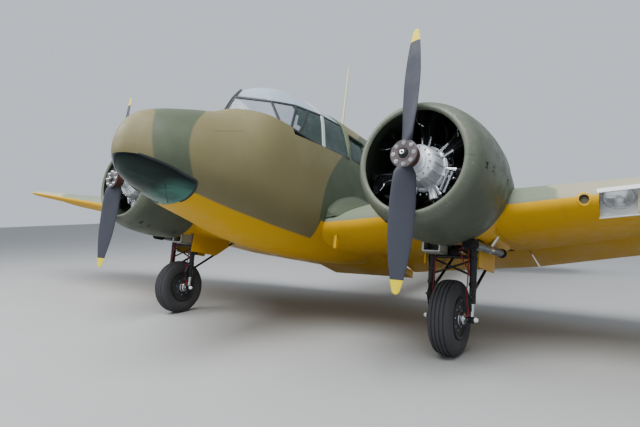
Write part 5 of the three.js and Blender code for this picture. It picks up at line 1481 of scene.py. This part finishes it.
gear = {
    "axle": 0.026, "axleHalf": 0.276, "leg": 0.225, "top": (-0.055, 0.985), "strut": (0.9, 0.905),
    # Half of the tyre's section from the bead to the crown: distance from the middle, radius
    "tyre": [[0.086, 0.214], [0.098, 0.222], [0.114, 0.246], [0.1235, 0.285], [0.1245, 0.312], [0.119, 0.342],
             [0.106, 0.366], [0.09, 0.3795]],
    "tread": [[0.08, 0.385], [0.068, 0.3895], [0.0665, 0.381], [0.0565, 0.381], [0.055, 0.3925],
              [0.028, 0.395], [0.0265, 0.386], [0.0165, 0.386], [0.015, 0.3955]],
    # Half of the wheel's section, and the cap on each face
    "wheel": [(-0.15, 0.028), (-0.15, 0.052), (-0.144, 0.06), (-0.112, 0.062), (-0.106, 0.074),
              (-0.092, 0.09), (-0.084, 0.15), (-0.092, 0.186), (-0.108, 0.196), (-0.113, 0.206),
              (-0.11, 0.2118),
              (-0.084, 0.2118), (-0.08, 0.206)],
    "cap": [(0.098, 0.03), (0.098, 0.082), (0.112, 0.066), (0.145, 0.062), (0.1545, 0.052), (0.1545, 0.03)],
    # Each ring of bolts: its radius, from, to, and the bolts' own radius
    "bolts": [(0.12, 0.07, 0.096, 0.0095), (0.046, 0.14, 0.1525, 0.005)], "boltCount": 8,
}


def makeWheels(s):
    tyre = bothWays(np.vstack([rounded(s["tyre"], 22), s["tread"]]))
    tyre = np.vstack([tyre, [[-0.08, 0.206], [0.08, 0.206]]])
    for word, side in sides:
        centre = np.array([side * halfTrack, 0, 0])
        carrier = f"wheel_{word}"
        rubber = Shape().turned(tyre, centre, "x", 72)
        rubber.piece(f"tyreRubber_{word}", "rubber", "tyre_rubber", f"tyre_{word}", carrier, 30)
        wheel = Shape().turned(bothWays(s["wheel"]), centre, "x", 64)
        for face in (-1, 1):
            wheel.turned([(face * along, radius) for along, radius in s["cap"]], centre, "x", 48, mark=1)
            for turn in circle(s["boltCount"]):
                for reach, low, high, radius in s["bolts"]:
                    spot = centre + np.array([0, reach * cos(turn), reach * sin(turn)])
                    wheel.rod(spot + [face * low, 0, 0], spot + [face * high, 0, 0], radius, 6, mark=1)
            valve = centre + np.array([face * 0.09, 0, 0.178])
            wheel.rod(valve, valve + [face * 0.022, 0, 0.004], 0.005, 8, mark=1)
        wheel.piece(f"wheelHub_{word}", "hub steel", "bare_steel", carrier, carrier)


def makeLegs(s):
    # All about the axle's middle, and moved out to the wheel's place at the end
    wall, leg = bay["half"] - 0.0005, s["leg"]
    (topY, topZ), (strutY, strutZ) = s["top"], s["strut"]
    shape = Shape().rod((-0.262, 0, 0), (0.262, 0, 0), s["axle"], 24, mark=1)
    for turn in (-1, 1):  # nuts, collars, end caps and brake unions on the axle
        shape.rod((turn * 0.262, 0, 0), (turn * s["axleHalf"], 0, 0), 0.022, 6, mark=2)
        shape.rod((turn * 0.196, 0, 0), (turn * 0.254, 0, 0), 0.036, 28)
        shape.rod((turn * 0.256, 0, 0), (turn * 0.2885, 0, 0), 0.027, 24, 0.019, mark=3)
        shape.rod((turn * 0.187, -0.03, 0.02), (turn * 0.2, -0.042, 0.125), 0.012, 14, mark=4)
    shape.rods([((-wall, topY, topZ), (wall, topY, topZ), 0.038, 26, 0),
                ((-wall, strutY, strutZ), (wall, strutY, strutZ), 0.026, 20, 0),
                ((-leg, -0.035, 0.64), (leg, -0.035, 0.64), 0.02, 20, 0)])
    for turn in (-1, 1):
        x = turn * leg
        foot, low, high = np.array([x, 0, -0.03]), np.array([x, -0.018, 0.34]), np.array([x, topY, topZ])
        up = unit(high - low)
        shape.rods([(foot, (x, -0.022, 0.42), 0.0245, 26, 1), (low, high, 0.0375, 28, 0)])
        for at, half, radius in ((0.0, 0.02, 0.0435), (0.27, 0.014, 0.043), (0.62, 0.016, 0.0435)):
            middle = low + up * (at + half)
            shape.rod(middle - up * half, middle + up * half, radius, 28)
        shape.rod(foot + [0, -0.006, 0.19], foot + [0, -0.02, 0.4], 0.0345, 24)
        shape.rod(low + up * 0.26, low + up * 0.6, 0.034, 26, 0.056)
        # Lug at the axle, radius rod with forked ends, and the torque link in front of the slider
        start, end = np.array([x, -0.02, 0.262]), np.array([x, strutY, strutZ - 0.025])
        along, link = unit(end - start), (x, -0.112, 0.225)
        shape.rods([(foot + [0, 0, -0.008], foot + [0, 0, 0.06], 0.0325, 20, 0), (start, end, 0.0165, 18, 0),
                    (start - along * 0.01, start + along * 0.075, 0.0235, 18, 0),
                    (end - along * 0.1, end - along * 0.012, 0.0225, 18, 0),
                    ((x, -0.036, 0.085), link, 0.0095, 12, 0), (link, (x, -0.05, 0.362), 0.0095, 12, 0),
                    ((x - 0.018, -0.112, 0.225), (x + 0.018, -0.112, 0.225), 0.013, 14, 0)])
        # Brake hose down the inward side of the leg, with two clips
        inward = -turn * np.array([1, 0, 0])
        hose = [[x, -0.088, 0.86], [x, -0.07, 0.66], [x, -0.062, 0.45], [x, -0.075, 0.28], [x, -0.052, 0.13]]
        shape.tube(rounded(hose + inward * 0.043, 40), 0.0062, 10, mark=4)
        for clip in (0.5, 0.74):
            shape.tube([[x, -0.062, clip] + inward * 0.01, [x, -0.066, clip] + inward * 0.055], 0.006, 8)
    # Cross bracing between the legs above the tyre, a hose along it, and the retraction jack
    for turn in (-1, 1):
        shape.rods([((-turn * 0.205, -0.03, 0.605), (turn * 0.205, -0.03, 0.452), 0.0115, 12, 0),
                    ((-turn * 0.215, -0.045, 0.645), (turn * 0.215, -0.05, 0.9), 0.0125, 12, 0)])
    hose = [[0.2, -0.075, 0.86], [0.1, -0.085, 0.74], [0.13, -0.085, 0.6], [0.19, -0.07, 0.5],
            [0.2, -0.06, 0.44]]
    shape.tube(rounded(hose, 30), 0.0065, 10, mark=4)
    shape.block((-0.1, -0.04, 0.655), (0.06, 0.05, 0.735), 0.006)
    shape.rods([((0.06, 0.005, 0.695), (0.13, 0.005, 0.7), 0.014, 14, 1),
                ((-leg, -0.048, 0.9), (leg, -0.04, 0.7), 0.01, 12, 0),
                ((leg, -0.048, 0.9), (-leg, -0.04, 0.7), 0.01, 12, 0),
                ((0.03, -0.02, 0.66), (0.06, 0.46, 0.98), 0.017, 18, 1),
                ((0.045, 0.22, 0.82), (0.066, 0.56, 1.042), 0.026, 18, 0)])
    shape.points = [block + np.array([halfTrack, 0, 0]) for block in shape.points]
    shape.pair("gearLegs_*", "black steel dullSteel white red", "black_paint", "gear_legs_*")


def makeGearDoors():
    # Thin leaves with softened rims. The outer one hangs from two arms, the inner one has a corner cut off
    outline = roundedOutline(0.046, 0.659, 0.546, 0.879, 0.03)
    outer = Shape().slab(outline, halfTrack + 0.2455, halfTrack + 0.2588)
    for y in (0.11, 0.56):
        outer.block((halfTrack + 0.258, y + 0.002, 0.84), (halfTrack + 0.2895, y + 0.038, 0.87))
    outer.pair("gearDoorOuter_*", "yellow", "yellow_paint", "gear_door_outer_*")
    outline = [[-0.109, 0.546], [0.4, 0.546], [0.659, 0.727], [0.659, 0.879], [-0.109, 0.879]]
    inner = Shape().slab(outline, halfTrack - 0.2893, halfTrack - 0.2762)
    inner.pair("gearDoorInner_*", "yellow", "yellow_paint", "gear_door_inner_*")


makeWheels(gear)
makeLegs(gear)
makeGearDoors()
print("stage 9: undercarriage made")

exhaust = {
    "x": 0.27, "y": -0.33, "z": 0.74, "splay": 0.143, "rise": 0.0202, "around": 40, "bare": (4, 10),
    # Place and radius along the pipe: collar, neck with a clamp band, body, open end, and back down the bore
    "profile": [(-0.398, 0.05), (-0.385, 0.0575), (-0.25, 0.0575), (-0.236, 0.05), (-0.225, 0.0435),
                (-0.13, 0.0435), (-0.128, 0.047), (-0.108, 0.047), (-0.106, 0.0435), (0.15, 0.0435),
                (0.405, 0.0435), (0.422, 0.05), (0.4645, 0.052), (0.4645, 0.045), (0.3, 0.0375),
                (0.205, 0.037), (0.203, 0.001)],
}


def pipeAt(s, y):  # the pipe runs aft in a straight line, splayed outwards
    y = np.asarray(y, float)
    along = y - s["y"]
    return np.stack([halfTrack + s["x"] + along * s["splay"], y, s["z"] + along * s["rise"]], axis=-1)


def makeExhausts(s):
    # Sections square to the pipe: its right and up directions are the same for all of them
    rows = np.array(s["profile"])
    along = unit(pipeAt(s, 1.0) - pipeAt(s, 0.0))
    beside = unit(np.cross(along, [0, 0, 1]))
    upward = np.cross(beside, along)
    angle = circle(s["around"])[None, :, None]
    ring = np.cos(angle) * beside + np.sin(angle) * upward
    shape = Shape().solid(pipeAt(s, rows[:, 0])[:, None] + rows[:, 1][:, None, None] * ring)
    band = np.arange(len(shape.faces)) // s["around"]  # the neck is bare metal, the rest sooty
    shape.marks = np.where((band >= s["bare"][0]) & (band < s["bare"][1]), 0, 1).tolist()
    clamp = pipeAt(s, -0.118) + np.array([0.05, 0, 0])
    shape.rod(clamp - [0, 0, 0.012], clamp + [0, 0, 0.012], 0.005, 8)
    # The stay from the pipe up to the nacelle, and its band
    shape.rod((2.512, 0.15, 0.782), (2.592, 0.19, 0.95), 0.0205, 18, mark=2)
    shape.tube(pipeAt(s, np.linspace(0.095, 0.155, 4)), 0.0475, 30, mark=2)
    shape.pair("exhaustPipe_*", "exhaust soot steel", "exhaust_metal", "exhaust_*")


makeExhausts(exhaust)


def wingNose(at, rise):
    # The wing's skin near its nose at a height above the leading edge, found from the section's own ring
    ring = wingRings(wing, np.array([at]), 241)[0]
    height = float(wingStation(wing, at)[1]) + rise
    nose = ring[np.abs(ring[:, 1] - ring[:, 1].min()) < 0.16]
    order = np.argsort(nose[:, 2])
    y = float(np.interp(height, nose[order, 2], nose[order, 1]))
    above = float(np.interp(height + 0.004, nose[order, 2], nose[order, 1]))
    slope = (above - y) / 0.004
    normal = np.array([0, -1, slope])
    return np.array([at, y, height]), unit(normal)


def makeLamps(s):
    # Deep dishes: radius grows with the root of the depth, with a bulb in each, on a plate behind the cover
    shape = Shape()
    depth = np.linspace(0, 1, 14)
    for at, size in ((3.682, 0.98), (3.995, 0.9)):
        centre = (at, 0.0, float(wingStation(wing, at)[1]) - 0.002)
        inner = [(-0.06 * d, size * (0.012 + 0.096 * sqrt(d))) for d in depth]
        outer = [(0.004 - 0.06 * d, size * (0.018 + 0.096 * sqrt(d))) for d in depth[::-1]]
        rim = [(-0.063, size * 0.104), (-0.063, size * 0.113), (-0.056, size * 0.114), (-0.054, size * 0.105)]
        bulb = [(0.004, 0.0), (0.004, size * 0.03), (-0.01, size * 0.028), (-0.012, 0.012), (-0.028, 0.016),
                (-0.04, 0.011), (-0.044, 0.0)]
        shape.turned(inner + outer, centre, "y", 56, 0)
        shape.turned(rim, centre, "y", 56, 1)
        shape.turned(bulb, centre, "y", 24, 2, closed=False)
        for index in (-3, -2, -1):  # the dishes are ovals, a fifth wider than high
            shape.points[index] = (shape.points[index] - [at, 0, 0]) * [s["oval"], 1, 1] + [at, 0, 0]
    rings, plate = [], ((0.0015, -0.15), (0.0185, -0.15), (0.0185, 0.1), (0.0015, 0.1))
    for at in np.linspace(s["from"] + 0.001, s["to"] - 0.001, 8):
        height = float(wingStation(wing, at)[1])
        rings.append([(at, y, height + z) for y, z in plate])
    shape.solid(rings, 3)
    divider = np.array([[-0.07, -0.15], [0.002, -0.165], [0.002, 0.024], [-0.105, 0.02], [-0.112, -0.04]])
    shape.slab(divider + [0, float(wingStation(wing, 3.83)[1])], 3.8315, 3.8405, "x", 1e-6, 4)
    shape.piece("landingLamps", "reflector dullSteel white white mast", "bare_steel", "landing_lamps")
    # The clear cover is the wing's own skin over the opening, with a flange round it
    cover = Shape().solid(wingRings(wing, np.linspace(3.4, 4.3, 19), 161)).made("lampCover", "lampGlass")
    carve(cover, lampPrism(s, s["above"], 0.001), "INTERSECT")
    carve(cover, Shape().solid(wingRings(wing, np.linspace(3.38, 4.32, 19), 161) + [0, 0.008, 0.003]))
    dressed(cover, "airframe", "lamp_cover")
    flange = Shape()

    def lay(places, wide, mark):
        path, out = zip(*(wingNose(at, rise) for at, rise in places))
        flange.strip(path, out, wide, -0.004, 0.0025, mark)
    low, high = 0.014 - s["below"], s["above"]
    for rise, wide, past in ((high + 0.02, 0.052, 0.01), (low, 0.018, 0)):
        lay([(at, rise) for at in np.linspace(s["from"] - past, s["to"] + past, 14)], wide, 0)
    for at in (s["from"] + 0.004, s["to"] - 0.004):
        lay([(at, rise) for rise in np.linspace(low, high - 0.004, 16)], 0.01, 1)
    # A raised rim follows the skin round the hole beside the lamps
    turn = circle(40)
    rim = np.column_stack([s["holeAt"] + 0.053 * np.cos(turn), 0 * turn, s["holeZ"] + 0.053 * np.sin(turn)])
    for point in rim:
        point[1] = wingNose(point[0], point[2] - float(wingStation(wing, point[0])[1]))[0][1]
    flange.grid(ringed(rim, [0, -1, 0], 0.012, 0.004), True, mark=1)
    flange.piece("lampFlange", "flangeGrey yellow", "yellow_paint")


makeLamps(lampBay)
print("stage 10: exhausts and lamps made")

tail = {
    # Rows of the plane, the fin and the rudder's foot: place, y of the leading edge, chord, thickness ratio
    "height": 2.01, "elevatorHinge": 6.4, "elevator": [0.262, 2.6], "rudderHinge": 7.062,
    "plane": [[0.06, 5.48, 1.52, 0.12], [2.1, 5.74, 1.15, 0.1], [2.48, 5.85, 0.93, 0.09],
              [2.66, 6.01, 0.62, 0.08], [2.72, 6.15, 0.33, 0.08]],
    "fin": [[2.04, 5.54, 2.18, 0.075], [2.5, 5.9, 1.871, 0.08], [3.15, 6.27, 1.4, 0.09],
            [3.42, 6.48, 1.11, 0.09], [3.55, 6.76, 0.7, 0.08]],
    "foot": [[1.6, 6.95, 0.64, 0.12], [2.04, 6.95, 0.78, 0.12]],
    "gap": 0.006,
}


def tailRings(rows, at, moving, hinge, upright):
    # The fixed part ends before the hinge's round nose. The moving one starts with it and runs straight back
    rings = []
    for place in at:
        lead, chord, thickness = (float(v) for v in between(rows, place))
        toHinge = hinge - lead
        half = float(foilHeights(np.array(toHinge / chord), chord, thickness, 0, wing["edge"])[1])
        if moving:
            nose, back = np.array(roundNose(half, 17)), np.linspace(0, 1, 10)[1:]
            thin = half * (1 - back) + 0.008 * back
            after = toHinge + back * (chord - toHinge)
            aft = np.concatenate([after[::-1], toHinge + nose[:, 0], after])
            up = np.concatenate([thin[::-1], nose[:, 1], -thin])
        else:
            end = (toHinge - half - tail["gap"]) / chord
            f = (1 - np.cos(np.linspace(0, pi / 2, 22))) * end
            thick = foilHeights(f, chord, thickness, 0, wing["edge"])[1]
            aft = np.concatenate([f[::-1] * chord, f[1:] * chord])
            up = np.concatenate([thick[::-1], -thick[1:]])
        level = np.full(len(aft), place)
        columns = [up, lead + aft, level] if upright else [level, lead + aft, tail["height"] + up]
        rings.append(np.column_stack(columns))
    return rings


def steps(*runs):  # places in steps: each run is its start, its end and how many
    return np.unique(np.concatenate([np.linspace(*run) for run in runs]))


def makeTail(s):
    at = steps((0.08, 2.1, 14), (2.1, 2.48, 6), (2.48, 2.7195, 10))
    rows = np.column_stack([at, through(s["plane"], at)])
    hinge, height, half = s["elevatorHinge"], s["height"], 0.018
    plane = Shape().solid(tailRings(rows, at, False, hinge, False))
    for place in (0.6, 1.5, 2.3):  # hinge lugs
        plane.block((place - half, hinge - 0.11, height - 0.012),
                    (place + half, hinge - 0.052 + 0.012 * (place / 2.3), height + 0.012), 0.002)
    plane.pair("tailplane_*_skin", "tail", "green_paint", "tailplane_*", angle=40)
    low, high = s["elevator"]
    at = steps((low, 2.48, 16), (2.48, high, 8))
    elevator = Shape().solid(tailRings(rows, at, True, hinge, False))
    elevator.pair("elevator_*_skin", "tail", "green_paint", "elevator_*", "elevator", 40)
    at, hinge = steps((2.04, 3.15, 14), (3.15, 3.5498, 14)), s["rudderHinge"]
    rows = np.column_stack([at, through(s["fin"], at)])
    fin = Shape().solid(tailRings(rows, at, False, hinge, True))
    for place in (2.5, 3.3):
        fin.block((-0.012, hinge - 0.1, place - half), (0.012, hinge - 0.045, place + half), 0.002)
    fin.piece("finSkin", "tail", "green_paint", "fin", angle=40)
    rows = np.vstack([s["foot"], rows[1:]])
    at = np.concatenate([[1.6], np.linspace(1.63, 2.04, 6), at[1:]])
    rudder = Shape().solid(tailRings(rows, at, True, hinge, True))
    rudder.piece("rudderSkin", "tail", "green_paint", "rudder", "rudder", 40)


makeTail(tail)

tailWheel = {
    "trail": 0.055, "fork": 0.078, "axle": 0.012,
    # Half sections of the tyre and the hub: distance from the middle, radius
    "tyre": [(-0.03, 0.088), (-0.046, 0.104), (-0.0495, 0.124), (-0.032, 0.1415), (-0.012, 0.1488)],
    "hub": [(-0.059, 0.0125), (-0.059, 0.026), (-0.052, 0.03), (-0.036, 0.034), (-0.026, 0.05),
            (-0.026, 0.074), (-0.034, 0.082), (-0.031, 0.0878)],
}


def makeTailWheel(s):
    # Built standing upright at the castor, as the fork hangs on the ground
    castor = np.array(joints["tail_castor"]["pos_m"])
    trail, reach, centre = s["trail"], s["fork"], (0, s["trail"], 0)

    def upright(shape):
        shape.points = [levelled(block + castor) for block in shape.points]
        return shape
    fork = Shape().rod((0, 0, 0.166), (0, 0, 0.1895), 0.03, 28)
    outline = roundedOutline(-0.041, trail + 0.024, -0.077, 0.077, 0.02)
    fork.slab(outline[:, ::-1], 0.1665, 0.1815, "z")
    arm = rounded([[-0.02, 0.174], [0.03, -0.01], [0.045, -0.0155], [0.07, -0.0155], [0.077, 0.0],
                   [0.077, 0.174]], 30)
    for side in (-1, 1):
        fork.slab(arm, *sorted((side * (reach - 0.0115), side * (reach - 0.0005))), "x", 0.002)
    fork.rod((-reach, trail, 0), (reach, trail, 0), s["axle"] - 0.0003, 20, mark=1)
    for side in (-1, 1):
        fork.rod((side * (reach - 0.001), trail, 0), (side * (reach - 0.0001), trail, 0), 0.02, 6, mark=1)
    upright(fork).piece("tailForkLeg", "black steel", "black_paint", "tail_fork", "tail_fork")
    tyre = Shape().turned(rounded(bothWays(s["tyre"]), 44), centre, "x", 56)
    upright(tyre).piece("tailTyre", "rubber", "tyre_rubber", "tail_tyre", "tail_wheel", 40)
    hub = Shape().turned(bothWays(s["hub"]), centre, "x", 48)
    upright(hub).piece("tailHub", "hub", "bare_steel", "tail_wheel", "tail_wheel")


makeTailWheel(tailWheel)


def makeMast():
    # A tapered mast of oval section with a foot plate
    foot, top = np.array([0, 0.8505, 2.52]), np.array([0, 0.865, 3.709])
    t = np.linspace(0, 1, 12)[:, None]
    path = foot + (top - foot) * t
    radius = 0.0265 - 0.0127 * t
    radius[-1] *= 0.6
    angle = circle(24)
    y, z = path[:, 1:2] + radius * np.sin(angle), path[:, 2:] + 0 * angle
    shape = Shape().solid(np.stack([radius * 0.6 * np.cos(angle), y, z], axis=-1))
    plate = np.column_stack([0.016 * np.cos(angle), 0.851 + 0.028 * np.sin(angle)])
    shape.slab(plate, 2.55, 2.566, "z")
    shape.piece("aerialMastPole", "mast", "earth_paint", "aerial_mast")


makeMast()
print("stage 11: tail and mast made")

cockpit = {"floor": 1.19, "seatAt": 0.3, "panelY": [-1.1885, -1.166], "dials": [0.08, 0.22, 0.34, 0.46],
           "wheelReach": 0.13, "wheelTilt": 0.3}


def makePanel(s):
    # Its top edge is a squared ellipse, 1 - (x / a)^4 under a root. Each dial is a cup with a pale face
    half, (y0, y1) = 0.59, s["panelY"]
    top = [(x, 1.5 + 0.365 * sqrt(1 - (abs(x) / 0.66) ** 4)) for x in np.linspace(-half, half, 25)]
    shape = Shape().slab(top[::-1] + [(-half, 1.503), (half, 1.503)], y0, y1, "y")
    for x in [-place for place in s["dials"][::-1]] + s["dials"]:
        for z in (1.58, 1.7):
            radius = 0.04 if abs(x) > 0.1 else 0.046
            cup = [(-0.003, 0), (-0.003, radius), (0.006, radius), (0.006, radius - 0.007),
                   (0.002, radius - 0.009), (0.002, 0)]
            face = [(0.0021, 0), (0.0021, radius - 0.01), (0.003, radius - 0.01), (0.003, 0)]
            shape.turned(cup, (x, y1, z), "y", 24, 1, closed=False)
            shape.turned(face, (x, y1, z), "y", 20, 2, closed=False)
    shape.piece("instruments", "panel black dial", "black_paint", "instrument_panel")


def makeSeats(s):
    # Pedestal, pan, cushion and back, with three seams on the back
    for word, side in sides:
        x, floor = side * s["seatAt"], s["floor"]
        seat = Shape()
        for fromY, toY, low, high, corner, half, edge, mark in (
                (-0.64, -0.22, 0.001, 0.06, 0.01, 0.19, 0.004, 1),
                (-0.66, -0.2, 0.06, 0.15, 0.02, 0.21, 0.01, 1),
                (-0.655, -0.205, 0.145, 0.229, 0.036, 0.205, 0.024, 0)):
            outline = roundedOutline(fromY, toY, floor + low, floor + high, corner)
            seat.slab(outline, x - half, x + half, "x", edge, mark)
        back = np.array([[-0.255, 0.205], [-0.135, 0.205], [-0.045, 0.78], [-0.06, 0.797], [-0.095, 0.795],
                         [-0.112, 0.77]])
        seat.slab(rounded(back + [0, floor], 40, True), x - 0.203, x + 0.203, "x", 0.022)
        for shift in (-0.1, 0, 0.1):
            seam = [[x + shift, -0.256 + 0.148 * t, floor + 0.26 + 0.5 * t] for t in np.linspace(0, 1, 8)]
            seat.tube(seam, 0.006, 8, mark=1)
        seat.piece(f"seatCushions_{word}", "leather black", "seat_leather", f"seat_{word}")


def makeColumns(s):
    # Foot, column, neck, cross bar and wheel for each seat, and the shaft between the two
    floor, reach = s["floor"], s["wheelReach"]
    shape = Shape()
    angle = np.linspace(0, 2 * pi, 41)
    for x in (-s["seatAt"], s["seatAt"]):
        shape.block((x - 0.05, -1.07, floor + 0.001), (x + 0.05, -0.97, floor + 0.03), 0.004)
        shape.rods([((0, -1.02, 0.015), (0, -0.96, 0.48), 0.021, 20, 0),
                    ((0, -0.96, 0.46), (0, -0.95, 0.53), 0.017, 18, 0),
                    ((-0.125, -0.95, 0.52), (0.125, -0.95, 0.52), 0.011, 14, 0)], [x, 0, floor])
        y = -0.95 + reach * np.sin(angle) * sin(s["wheelTilt"])
        z = floor + 0.52 + reach * np.sin(angle) * cos(s["wheelTilt"])
        shape.tube(np.column_stack([x + reach * np.cos(angle), y, z]), 0.0135, 10, False)
    shape.rod((-s["seatAt"], -1.015, floor + 0.04), (s["seatAt"], -1.015, floor + 0.04), 0.0135, 16)
    shape.piece("controlWheels", "black", "black_paint", "control_columns")


makePanel(cockpit)
makeSeats(cockpit)
makeColumns(cockpit)
print("stage 12: cockpit made")

for name, node in nodes.items():  # the floors stay as they are, and every CAD node gets a worked paint
    node.data.materials.clear()
    node.data.materials.append(paints["cabin" if name.endswith("floor") else "green"])

bpy.context.view_layer.update()
